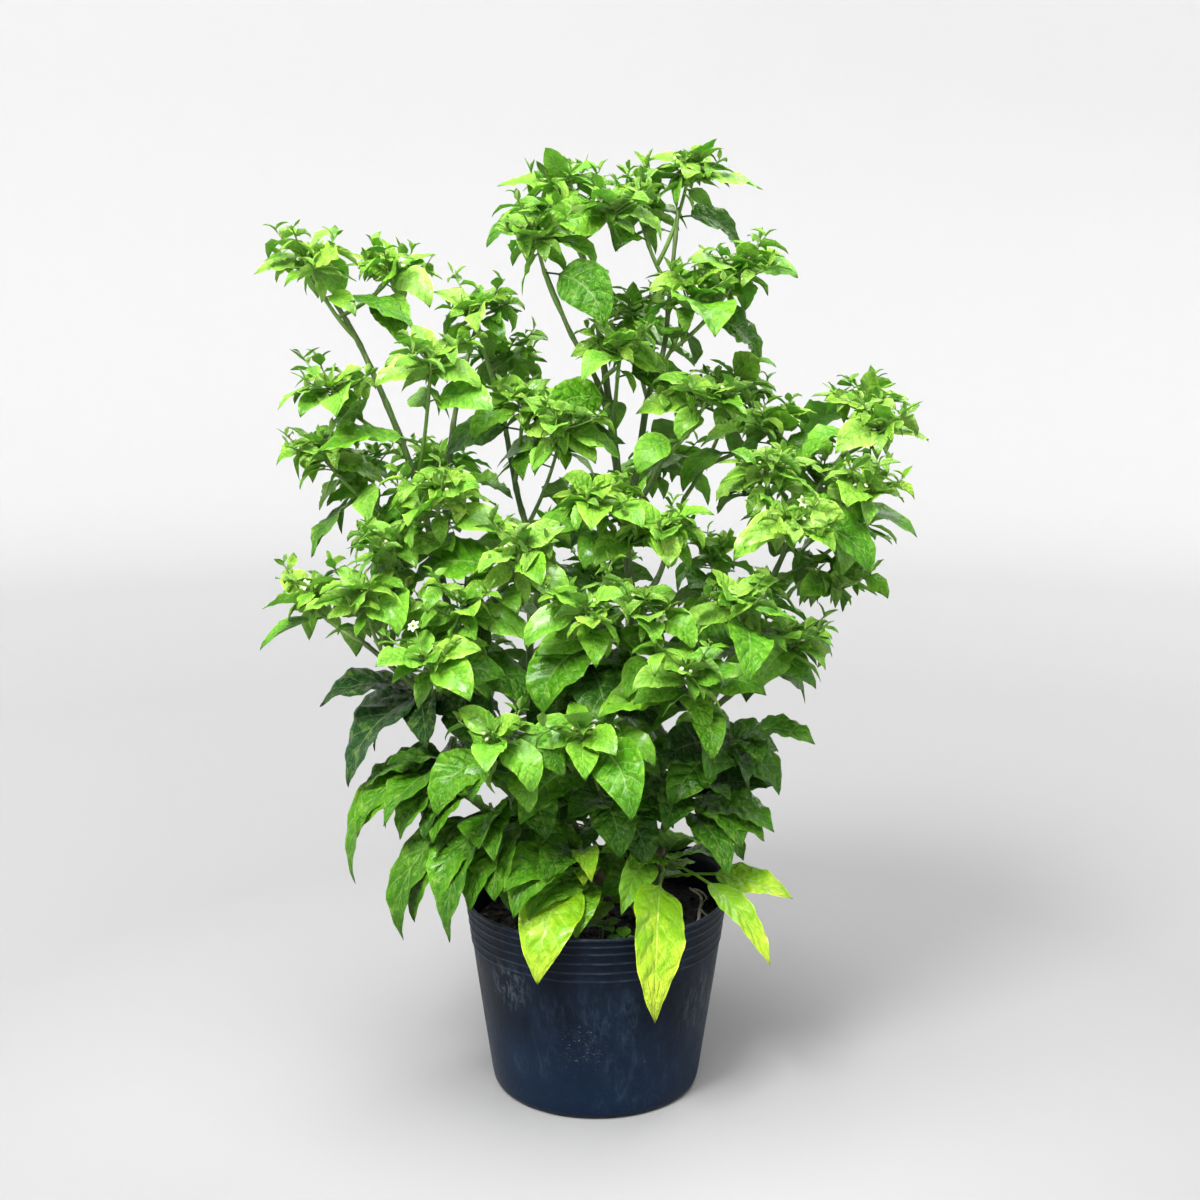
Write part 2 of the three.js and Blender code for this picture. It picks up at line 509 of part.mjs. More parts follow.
// Free facet of a branch's segment that looks most nearly along a leaf: its corners, turned to
// match the leaf's left, top, right and bottom
function facetFor(branch, segment, root, ring) {
  const centre = midOf(ring);
  const heading = centre.clone().sub(root).normalize();
  let best = null;
  for (let k = 0; k < twigShape.sides; k += 1) {
    const key = `${segment} ${k}`;
    const next = (k + 1) % twigShape.sides;
    const spots = [[segment, k], [segment, next], [segment + 1, next], [segment + 1, k]];
    const corners = spots.map(([i, j]) => branch.rings[i][j]);
    const facing = midOf(corners).sub(root).normalize().dot(heading);
    if (branch.grown.has(key) || (best !== null && facing <= best.facing)) continue;
    best = { key, facing, spots, corners };
  }
  if (best === null || best.facing < twigShape.leastFacing) return null;
  const middle = midOf(best.corners);
  const misfit = (turn) => ring.reduce((sum, corner, k) => {
    const wanted = new THREE.Vector3(...corner).sub(centre).normalize();
    const matched = new THREE.Vector3(...best.corners[(k + turn) % 4]);
    return sum + matched.sub(middle).normalize().distanceTo(wanted);
  }, 0);
  const turns = [0, 1, 2, 3].sort((a, b) => misfit(a) - misfit(b));
  const rotated = (list) => list.map((entry, k) => list[(k + turns[0]) % 4]);
  return { key: best.key, spots: rotated(best.spots), corners: rotated(best.corners) };
}

// Leaf grown from a free facet of its branch; null where no facet looks its way
function makeLeaf(branch, leaf) {
  const spine = bladePath(leaf);
  const rings = ringShares(leaf).map((share) => bladeRing(leaf, spine, share));
  rings.push([spine[blade.steps].place.toArray()]);
  const facet = facetFor(branch, leaf.segment, leaf.root, rings[0]);
  if (facet === null) return null;
  if (rings.length > 4) {
    const outwards = midOf(facet.corners).sub(leaf.root).setLength(twigShape.collar);
    rings.unshift(facet.corners.map((corner) => new THREE.Vector3(...corner).add(outwards).toArray()));
  }
  return { facet, rings, solid: loftSolid([facet.corners, ...rings]) };
}

// Skin of a branch and all leaves on it, as one solid
function skinBranch(branch) {
  const points = [];
  const numberOf = (ring) => ring.map((point) => points.push(point) - 1);
  const rings = branch.rings.map(numberOf);
  const bud = numberOf(branch.bud);
  const triangles = endTriangles(rings[0]);
  for (let i = 0; i + 1 < rings.length; i += 1) {
    const band = bandTriangles(rings[i], rings[i + 1]);
    for (let k = 0; k < twigShape.sides; k += 1) {
      if (!branch.grown.has(`${i} ${k}`)) triangles.push(band[2 * k], band[2 * k + 1]);
    }
  }
  triangles.push(...bandTriangles(rings[rings.length - 1], bud));
  for (const { facet, rings: leafRings } of branch.grown.values()) {
    let ring = facet.spots.map(([i, j]) => rings[i][j]);
    for (const next of leafRings.map(numberOf)) {
      triangles.push(...bandTriangles(ring, next));
      ring = next;
    }
  }
  return solidOf(points, triangles);
}

// Roll that turns a blade's face out of the plant and to its front, as leaves turn to the light
function outwardRoll(root, bearing) {
  const x = root.x / facing.reach;
  const y = root.y / facing.reach - facing.front;
  const sideways = (y * Math.cos(bearing) - x * Math.sin(bearing)) / Math.max(Math.hypot(x, y), 1);
  return -facing.roll * sideways * degrees;
}

// Bearing, slope and length that bring a leaf with a given droop from its root to its tip
function aimLeaf(root, tip, droop) {
  const flat = { root: new THREE.Vector3(), bearing: 0, lift: 0, droop, swerve: 0, length: 1 };
  const end = bladePath(flat)[blade.steps].place;
  const reach = new THREE.Vector3(...tip).sub(root);
  return {
    bearing: Math.atan2(reach.y, reach.x),
    lift: Math.atan2(reach.z, Math.hypot(reach.x, reach.y)) - Math.atan2(end.z, end.x),
    length: reach.length() / Math.hypot(end.x, end.z),
  };
}

// Nearest place on the woody stem to a given point, or to one below a tip and nearer the middle
function footOnStem(tip, from) {
  const below = [tip[0] * footing.inwardX, tip[1] * footing.inwardY, tip[2] - footing.below];
  const target = new THREE.Vector3(...(from ?? below));
  let best = null;
  for (const stem of stems) {
    const curve = curveOf(stem.path);
    for (let i = 1; i <= footing.steps; i += 1) {
      const place = curve.getPoint(i / footing.steps);
      const distance = place.distanceTo(target);
      const isBelow = place.z < tip[2] - footing.leastBelow;
      if (isBelow && (best === null || distance < best.distance)) best = { place, distance };
    }
  }
  return best.place;
}

// Twig from its foot to a tip: leaves sideways, then turns up
function twigCurve(foot, tip) {
  const end = new THREE.Vector3(...tip);
  const middle = new THREE.Vector3(
    mix(foot.x, end.x, 0.72),
    mix(foot.y, end.y, 0.72),
    mix(foot.z, end.z, 0.42),
  );
  return new THREE.QuadraticBezierCurve3(foot, middle, end);
}

// Shares of a twig where its rings stand: a foot, a segment for each old leaf, and the whorl's
function shootShares(curve) {
  const leafy = curve.getLength() * (whorl.from - twigLeaf.from);
  const oldLeaves = Math.max(1, Math.round(leafy / twigLeaf.spacing));
  const shares = [0];
  for (let i = 0; i <= oldLeaves; i += 1) shares.push(mix(twigLeaf.from, whorl.from, i / oldLeaves));
  for (let i = 1; i <= whorl.segments; i += 1) shares.push(mix(whorl.from, 1, i / whorl.segments));
  return shares;
}

const middleShare = (shares, segment) => (shares[segment] + shares[segment + 1]) / 2;

// Young leaves round the end of a shoot, the outer ones lower and longer
function whorlLeaves(curve, shares, seed) {
  const next = randomStream(seed);
  const turn = 360 * next();
  const first = shares.length - 1 - whorl.segments;
  const leaves = [];
  for (let i = 0; i < whorl.leaves; i += 1) {
    const inner = i / (whorl.leaves - 1);
    const segment = first + Math.floor((i * whorl.segments) / whorl.leaves);
    const length = mix(whorl.outerLength, whorl.innerLength, inner) * (0.84 + 0.32 * next());
    leaves.push({
      segment,
      root: curve.getPoint(middleShare(shares, segment)),
      length,
      width: length * whorl.widthShare * (0.85 + 0.3 * next()),
      petiole: whorl.petiole,
      bearing: (turn + goldenAngle * i + 24 * (next() - 0.5)) * degrees,
      lift: (mix(whorl.outerLift, whorl.innerLift, inner) + 18 * (next() - 0.5)) * degrees,
      droop: mix(whorl.outerDroop, whorl.innerDroop, inner) * (0.5 + next()) * degrees,
      swerve: 50 * (next() - 0.5) * degrees,
      roll: 34 * (next() - 0.5) * degrees,
      wavePhase: 6.28 * next(),
    });
  }
  return leaves;
}

// Older leaves down the twig, one from each segment between the foot and the whorl
function twigLeaves(curve, shares, seed) {
  const next = randomStream(seed);
  const turn = 360 * next();
  const count = shares.length - 2 - whorl.segments;
  const leaves = [];
  for (let i = 0; i < count; i += 1) {
    const segment = i + 1;
    const length = twigLeaf.length * (0.74 + 0.52 * next());
    leaves.push({
      segment,
      root: curve.getPoint(middleShare(shares, segment)),
      length,
      width: length * twigLeaf.widthShare * (0.85 + 0.3 * next()),
      petiole: twigLeaf.petiole,
      bearing: (turn + goldenAngle * i + 30 * (next() - 0.5)) * degrees,
      lift: (twigLeaf.lift + 26 * (next() - 0.5)) * degrees,
      droop: twigLeaf.droop * (0.5 + next()) * degrees,
      swerve: 44 * (next() - 0.5) * degrees,
      roll: 36 * (next() - 0.5) * degrees,
      wavePhase: 6.28 * next(),
    });
  }
  return leaves;
}

// Leaves of a spray, each aimed from its segment at its own tip
function sprayLeaves(spray, curve, shares) {
  return spray.leaves.map((entry, i) => {
    const segment = Math.min(shares.length - 2, 1 + Math.floor(entry.at * (shares.length - 2)));
    const root = curve.getPoint(middleShare(shares, segment));
    const droop = entry.droop * degrees;
    return {
      segment,
      root,
      ...aimLeaf(root, entry.tip, droop),
      width: entry.width,
      petiole: entry.petiole,
      droop,
      swerve: 0,
      roll: 0,
      wavePhase: 1 + 2.4 * i,
    };
  });
}

// Everything that stands before a leaf is placed: each solid with its owner and its box
const standing = [];

function boxOf(solid) {
  const { min, max } = solid.boundingBox();
  return new THREE.Box3(new THREE.Vector3(...min), new THREE.Vector3(...max));
}

const stand = (owner, solid) => standing.push({ owner, solid, box: boxOf(solid) });

// True where a leaf keeps clear of other nodes and does not cross its own node's twigs and leaves
function isClear(owner, solid) {
  const box = boxOf(solid).expandByScalar(clearance);
  for (const other of standing) {
    if (!other.box.intersectsBox(box)) continue;
    if (other.owner === owner) {
      if (solid.intersect(other.solid).volume() > 0.02) return false;
    } else if (solid.minGap(other.solid, 2 * clearance) < clearance) {
      return false;
    }
  }
  return true;
}

// Grows a leaf at the first shift that is clear; a leaf with no room is left out
function placeLeaf(owner, branch, leaf) {
  for (const [turn, lift, share] of shifts) {
    const bearing = leaf.bearing + turn * degrees;
    const made = makeLeaf(branch, {
      ...leaf,
      bearing,
      lift: leaf.lift + lift * degrees,
      roll: leaf.roll + outwardRoll(leaf.root, bearing),
      length: leaf.length * share,
      width: leaf.width * share,
    });
    if (made === null || !isClear(owner, made.solid)) continue;
    stand(owner, made.solid);
    branch.grown.set(made.facet.key, made);
    return;
  }
}

// Pot, soil, dry twig and woody stem stand first
const solids = { pot: makePot(), soil: makeSoil(), dry_twig: makeDryTwig(), woody_stem: makeStem() };
const stemClearance = makeStem(clearance);
for (const [name, solid] of Object.entries(solids)) stand(name, solid);

// Twigs of the sprays and shoots, each with the shares where its rings stand
const branches = new Map();
for (const spray of sprays) {
  const curve = curveOf(spray.twig);
  const segments = spray.leaves.length;
  const shares = [0];
  for (let i = 0; i <= segments; i += 1) shares.push(mix(sprayTwig.from, 1, i / segments));
  branches.set(spray.name, [startBranch(curve, shares, [spray.radius, spray.radius * sprayTwig.taper])]);
}
for (const shoot of shoots) {
  const grown = [];
  shoot.tips.forEach((tip, i) => {
    const foot = i === 0 ? footOnStem(tip, shoot.from) : grown[0].curve.getPoint(twigShape.forkShare);
    const curve = twigCurve(foot, tip);
    grown.push(startBranch(curve, shootShares(curve), [twigShape.footRadius, twigShape.tipRadius]));
  });
  branches.set(shoot.name, grown);
}
for (const [name, grown] of branches) {
  for (const branch of grown) stand(name, skinBranch(branch).subtract(stemClearance));
}

// Leaves: the sprays' first, then every shoot's whorls, then the older leaves down the twigs
for (const spray of sprays) {
  const [branch] = branches.get(spray.name);
  const leaves = sprayLeaves(spray, branch.curve, branch.shares);
  leaves.forEach((leaf) => placeLeaf(spray.name, branch, leaf));
}
[whorlLeaves, twigLeaves].forEach((leavesOf, kind) => {
  shoots.forEach((shoot, number) => {
    branches.get(shoot.name).forEach((branch, i) => {
      const seed = number * 16 + i * 4 + kind * 2;
      const leaves = leavesOf(branch.curve, branch.shares, seed);
      leaves.forEach((leaf) => placeLeaf(shoot.name, branch, leaf));
    });
  });
});

// Each node is its twigs and leaves, kept clear of the woody stem; crumbs at the foot fall away
for (const [name, grown] of branches) {
  const pieces = Manifold.union(grown.map(skinBranch)).subtract(stemClearance).decompose();
  pieces.sort((a, b) => b.volume() - a.volume());
  [solids[name]] = pieces;
}

const looks = {
  pot: { color: 0x1b2230, roughness: 0.55, metalness: 0 },
  soil: { color: 0x17130f, roughness: 0.95, metalness: 0 },
  dry_twig: { color: 0xb39b84, roughness: 0.9, metalness: 0 },
  woody_stem: { color: 0x4a6b2a, roughness: 0.7, metalness: 0 },
  spray: { color: 0x4f8f2a, roughness: 0.6, metalness: 0 },
  shoot: { color: 0x86c232, roughness: 0.6, metalness: 0 },
};

const plant = new THREE.Group();
for (const [name, solid] of Object.entries(solids)) {
  const mesh = solid.getMesh();
  const geometry = new THREE.BufferGeometry();
  geometry.setAttribute('position', new THREE.BufferAttribute(mesh.vertProperties, mesh.numProp));
  geometry.setIndex(new THREE.BufferAttribute(mesh.triVerts, 1));
  geometry.computeVertexNormals();
  const look = looks[name] ?? looks[name.split('_')[0]];
  const piece = new THREE.Mesh(geometry, new THREE.MeshStandardMaterial(look));
  piece.name = name;
  plant.add(piece);
}

export default plant;
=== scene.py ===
import json
import math
import bpy
import numpy as np
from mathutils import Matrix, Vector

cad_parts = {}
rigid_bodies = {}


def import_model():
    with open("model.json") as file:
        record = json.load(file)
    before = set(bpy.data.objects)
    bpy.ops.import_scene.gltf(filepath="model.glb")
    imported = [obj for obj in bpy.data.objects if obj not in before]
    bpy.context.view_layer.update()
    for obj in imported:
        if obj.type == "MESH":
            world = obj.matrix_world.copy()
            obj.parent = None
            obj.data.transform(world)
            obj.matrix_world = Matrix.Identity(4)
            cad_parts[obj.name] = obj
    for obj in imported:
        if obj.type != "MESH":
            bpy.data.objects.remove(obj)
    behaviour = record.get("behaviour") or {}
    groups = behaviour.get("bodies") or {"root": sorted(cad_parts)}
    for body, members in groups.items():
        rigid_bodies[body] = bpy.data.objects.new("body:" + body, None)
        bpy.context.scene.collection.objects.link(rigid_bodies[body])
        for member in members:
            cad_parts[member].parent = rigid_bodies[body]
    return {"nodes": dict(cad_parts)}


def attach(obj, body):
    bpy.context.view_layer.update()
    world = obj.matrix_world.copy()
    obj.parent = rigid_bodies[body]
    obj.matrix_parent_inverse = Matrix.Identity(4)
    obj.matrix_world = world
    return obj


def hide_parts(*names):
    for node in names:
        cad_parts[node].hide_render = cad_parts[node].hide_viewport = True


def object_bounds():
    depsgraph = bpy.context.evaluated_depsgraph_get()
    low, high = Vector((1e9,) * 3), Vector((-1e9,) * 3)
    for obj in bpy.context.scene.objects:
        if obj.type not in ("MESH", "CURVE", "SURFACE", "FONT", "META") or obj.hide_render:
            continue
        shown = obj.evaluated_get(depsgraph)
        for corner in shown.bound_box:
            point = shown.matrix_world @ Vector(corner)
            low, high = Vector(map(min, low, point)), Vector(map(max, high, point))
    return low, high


# A chilli pepper plant in a soft nursery pot. Lengths in the code are millimetres and angles
# degrees; a mesh gets metres.

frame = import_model()
cadLow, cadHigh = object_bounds()
cadNodes = frame["nodes"]

goldenAngle = 137.508
seeds = {
    "ground": 11, "chips": 23, "dryTwig": 5, "stems": 100, "shoots": 1000, "sprays": 2000,
    "seedlings": 77, "baseLeaves": 91,
}


# Low plus the share of the way to high
def mix(low, high, share):
    return low + (high - low) * share


# 0 below low, 1 above high, and 3 s squared - 2 s cubed of the share between
def smooth(low, high, value):
    share = np.clip((value - low) / (high - low), 0, 1)
    return share * share * (3 - 2 * share)


# Even random numbers as the CAD draws them: the last number times a factor plus a step, with the
# overflow past 32 bits dropped
def numberStream(seed):
    state = ((seed + 1) * 2654435761) % 4294967296

    def draw():
        nonlocal state
        state = (state * 1664525 + 1013904223) % 4294967296
        return state / 4294967296
    draw()
    draw()
    return draw


# Smooth curve through a path's points: each span is the cubic whose slope at a point is half the
# step between that point's neighbours, with the ends carried on straight
def throughPoints(path, shares):
    points = np.array(path, float)
    spans = len(points) - 1
    padded = np.vstack([2 * points[0] - points[1], points, 2 * points[-1] - points[-2]])
    along = np.clip(np.atleast_1d(shares), 0, 1) * spans
    slot = np.minimum(along.astype(int), spans - 1)
    part = (along - slot)[:, None]
    before, start, end, after = (padded[slot + k] for k in range(4))
    startSlope = (end - before) / 2
    endSlope = (after - start) / 2
    square = -3 * start + 3 * end - 2 * startSlope - endSlope
    cube = 2 * start - 2 * end + startSlope + endSlope
    return start + startSlope * part + square * part**2 + cube * part**3


# Parabola from foot to tip, pulled towards a middle point
def bowed(foot, middle, tip, shares):
    part = np.atleast_1d(shares)[:, None]
    return (1 - part) ** 2 * foot + 2 * part * (1 - part) * middle + part**2 * tip


# Twig of a shoot: it runs outwards first and climbs at its end, by the shares of the way at which
# its middle point lies
twigBow = {"outwards": 0.72, "upwards": 0.42}


def curveOfShoot(foot, tip):
    foot, tip = np.array(foot, float), np.array(tip, float)
    out, up = twigBow["outwards"], twigBow["upwards"]
    middle = np.array([mix(foot[0], tip[0], out), mix(foot[1], tip[1], out), mix(foot[2], tip[2], up)])
    return lambda shares: bowed(foot, middle, tip, shares)


# Length of a curve as the sum of short straight steps
def lengthOf(curve, steps=200):
    return np.linalg.norm(np.diff(curve(np.arange(steps + 1) / steps), axis=0), axis=1).sum()


footing = {"inwardX": 0.92, "inwardY": 0.7, "below": 78, "leastBelow": 24, "steps": 60}


# Nearest place on the woody stem to a point well below a tip
def footOnStem(tip, near):
    target = np.array(near if near else [
        tip[0] * footing["inwardX"], tip[1] * footing["inwardY"], tip[2] - footing["below"]])
    shares = np.arange(1, footing["steps"] + 1) / footing["steps"]
    places = np.vstack([throughPoints(path, shares) for _, path in stems.values()])
    places = places[places[:, 2] < tip[2] - footing["leastBelow"]]
    return places[np.argmin(np.linalg.norm(places - target, axis=1))]


# Faces of stacks of rings closed by a pole at each end. A stack's points are its rings in order,
# each turning right-handed about the way to the far pole, then the near pole and the far pole.
def stackFaces(count, rings, sides):
    corner = np.arange(sides)
    after = (corner + 1) % sides
    row = np.arange(rings - 1)[:, None] * sides
    quads = np.stack([row + corner, row + after, row + after + sides, row + corner + sides], -1)
    last = (rings - 1) * sides
    near = np.stack([after, corner, np.full(sides, rings * sides)], -1)
    far = np.stack([last + corner, last + after, np.full(sides, rings * sides + 1)], -1)
    shift = (np.arange(count) * (rings * sides + 2))[:, None, None]
    ends = np.vstack([near, far])
    return (quads.reshape(1, -1, 4) + shift).reshape(-1, 4), (ends[None] + shift).reshape(-1, 3)


# The same for leaves, as triangles: the underside is cut along the same diagonals as the top, so
# that a thin blade never shows through
def leafFaces(count, rings, columns):
    sides = 2 * columns - 2
    quads, ends = stackFaces(count, rings, sides)
    quads = quads.reshape(-1, sides, 4)
    top, under = quads[:, :columns - 1], quads[:, columns - 1:]
    tris = np.concatenate([
        top[..., [0, 1, 2]], top[..., [0, 2, 3]], under[..., [0, 1, 3]], under[..., [1, 2, 3]]], 1)
    slots = np.repeat([0, 1], 2 * (columns - 1))
    ends = ends.reshape(-1, sides, 3)
    return (tris.reshape(-1, 3), ends.reshape(-1, 3)), (
        np.tile(slots, len(tris)), np.tile(np.repeat([0, 1], columns - 1), len(ends)))


# Mesh parts gathered for one piece: points, faces with a material number, and a value of each
# named kind at each point
class Gathered:
    def __init__(self):
        self.points, self.faces, self.slots, self.values, self.maps, self.sharp = [], [], [], [], [], []
        self.count = 0

    def add(self, points, faces, slots, map2=None, sharp=None, **values):
        points = np.asarray(points, float).reshape(-1, 3)
        for block, slot in zip(faces, slots):
            self.faces.append(block + self.count)
            self.slots.append(np.broadcast_to(slot, len(block)))
        self.points.append(points)
        self.maps.append(np.zeros((len(points), 2)) if map2 is None else map2.reshape(-1, 2))
        self.sharp.append(np.zeros(len(points), int) if sharp is None else sharp)
        self.values.append({key: np.broadcast_to(value, len(points)) for key, value in values.items()})
        self.count += len(points)

    def finish(self, name, materials, kinds=()):
        mesh = bpy.data.meshes.new(name)
        points = np.vstack(self.points)
        counts = np.concatenate([np.full(len(f), f.shape[1]) for f in self.faces])
        corners = np.concatenate([f.ravel() for f in self.faces]).astype(np.int32)
        mesh.vertices.add(len(points))
        mesh.vertices.foreach_set("co", (points * 0.001).astype(np.float32).ravel())
        mesh.loops.add(len(corners))
        mesh.loops.foreach_set("vertex_index", corners)
        mesh.polygons.add(len(counts))
        starts = np.concatenate([[0], np.cumsum(counts)[:-1]])
        mesh.polygons.foreach_set("loop_start", starts.astype(np.int32))
        mesh.polygons.foreach_set("material_index", np.concatenate(self.slots).astype(np.int32))
        mesh.update(calc_edges=True)
        mesh.shade_smooth()
        mapped = np.vstack(self.maps)
        layer = mesh.uv_layers.new(name="surfaceMap")
        layer.uv.foreach_set("vector", mapped[corners].astype(np.float32).ravel())
        for kind in kinds:
            field = np.concatenate([
                v.get(kind, np.zeros(len(p))) for v, p in zip(self.values, self.points)])
            layer = mesh.attributes.new(kind, "FLOAT", "POINT")
            layer.data.foreach_set("value", field.astype(np.float32))
        marked = np.concatenate(self.sharp)
        if marked.any():
            ends = np.zeros(len(mesh.edges) * 2, np.int32)
            mesh.edges.foreach_get("vertices", ends)
            ends = marked[ends.reshape(-1, 2)]
            sharp = (ends[:, 0] > 0) & (ends[:, 0] == ends[:, 1])
            mesh.attributes.new("sharp_edge", "BOOLEAN", "EDGE").data.foreach_set("value", sharp)
        for material in materials:
            mesh.materials.append(material)
        piece = bpy.data.objects.new(name, mesh)
        bpy.context.scene.collection.objects.link(piece)
        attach(piece, "root")
        return piece


# Unit vectors across a path at each of its points: one carried along with as little turning as
# possible, and its partner, right-handed about the way on
def acrossPath(points):
    along = np.gradient(points, axis=0)
    along /= np.linalg.norm(along, axis=1)[:, None]
    side = np.array([0.0, 1.0, 0.0]) if abs(along[0][1]) < 0.8 else np.array([1.0, 0.0, 0.0])
    sides = []
    for way in along:
        side = side - way * side.dot(way)
        side = side / np.linalg.norm(side)
        sides.append(side)
    sides = np.array(sides)
    return sides, np.cross(along, sides), along


# Tube along a path: at each point a ring of the given radius, made uneven by ridge (a share of
# the radius) that winds slowly, with rounded ends
def tube(points, radii, sides, ridge=0.0, ridges=5, wind=0.0):
    side, across, along = acrossPath(points)
    angle = 2 * np.pi * np.arange(sides) / sides
    travelled = np.concatenate([[0], np.cumsum(np.linalg.norm(np.diff(points, axis=0), axis=1))])
    uneven = 1 + ridge * np.cos(ridges * angle[None] + wind * travelled[:, None])
    reach = (np.asarray(radii)[:, None] * uneven)[..., None]
    rings = points[:, None] + reach * (
        np.cos(angle)[None, :, None] * side[:, None] + np.sin(angle)[None, :, None] * across[:, None])
    poles = np.stack([points[0] - along[0] * radii[0] * 0.5, points[-1] + along[-1] * radii[-1] * 0.6])
    return np.vstack([rings.reshape(-1, 3), poles]), stackFaces(1, len(points), sides)


blade = {
    "steps": 24, "droopPower": 1.4, "fold": 14, "thickness": 0.35,
    "full": 3.016, "opening": 0.6, "closing": 1.1,
    "stemRadius": 0.34, "stemGrowth": 0.0062, "foot": 0.05,
    "wave": 0.05, "leftWaves": 13, "rightWaves": 11,
    "ruffle": 0.55, "ruffles": 37, "crumple": 0.022, "crumplesAlong": 21, "crumplesAcross": 7,
    "sideVeins": 6, "veinSlant": 1.3, "veinShift": 0.22, "swell": 0.07,
}
# Leaf grids: rows along the leaf as shares of the petiole and then of the blade, and columns
# across it from left (1) to right (-1)
fineGrid = {
    "stalk": [0, 0.35, 0.7, 0.92],
    "blade": [0.004, 0.02, 0.05, 0.09, 0.135, 0.18, 0.225, 0.27, 0.315, 0.36, 0.405, 0.45, 0.495, 0.54,
              0.585, 0.63, 0.675, 0.72, 0.77, 0.82, 0.87, 0.92, 0.965],
    "columns": [1, 0.72, 0.42, 0.15, 0, -0.15, -0.42, -0.72, -1],
}
mediumGrid = {
    "stalk": [0, 0.5, 0.9],
    "blade": [0.005, 0.04, 0.09, 0.15, 0.22, 0.29, 0.36, 0.43, 0.5, 0.57, 0.64, 0.71, 0.78, 0.86, 0.94],
    "columns": [1, 0.66, 0.3, 0, -0.3, -0.66, -1],
}
smallGrid = {
    "stalk": [0], "blade": [0.01, 0.07, 0.17, 0.3, 0.44, 0.58, 0.74, 0.89],
    "columns": [1, 0.5, 0, -0.5, -1],
}
tinyGrid = {"stalk": [0], "blade": [0.03, 0.24, 0.54, 0.82], "columns": [1, 0.5, 0, -0.5, -1]}
leafKinds = ("leafAge", "leafTone", "leafYellow")


# One array for each value of the leaves, in their order
def asArrays(leaves):
    return {key: np.array([leaf[key] for leaf in leaves], float) for key in leaves[0]}


# Middle line of leaves: from the root, even steps whose slope falls by droop times the share along
# to a power, and whose bearing turns evenly by swerve
def spines(leaf):
    steps = blade["steps"]
    middle = (np.arange(steps) + 0.5) / steps
    slope = leaf["lift"][:, None] - leaf["droop"][:, None] * middle ** blade["droopPower"]
    bearing = leaf["bearing"][:, None] + leaf["swerve"][:, None] * middle
    step = leaf["length"][:, None, None] / steps * np.stack([
        np.cos(slope) * np.cos(bearing), np.cos(slope) * np.sin(bearing), np.sin(slope)], -1)
    start = leaf["root"][:, None]
    return np.concatenate([start, start + np.cumsum(step, axis=1)], axis=1)


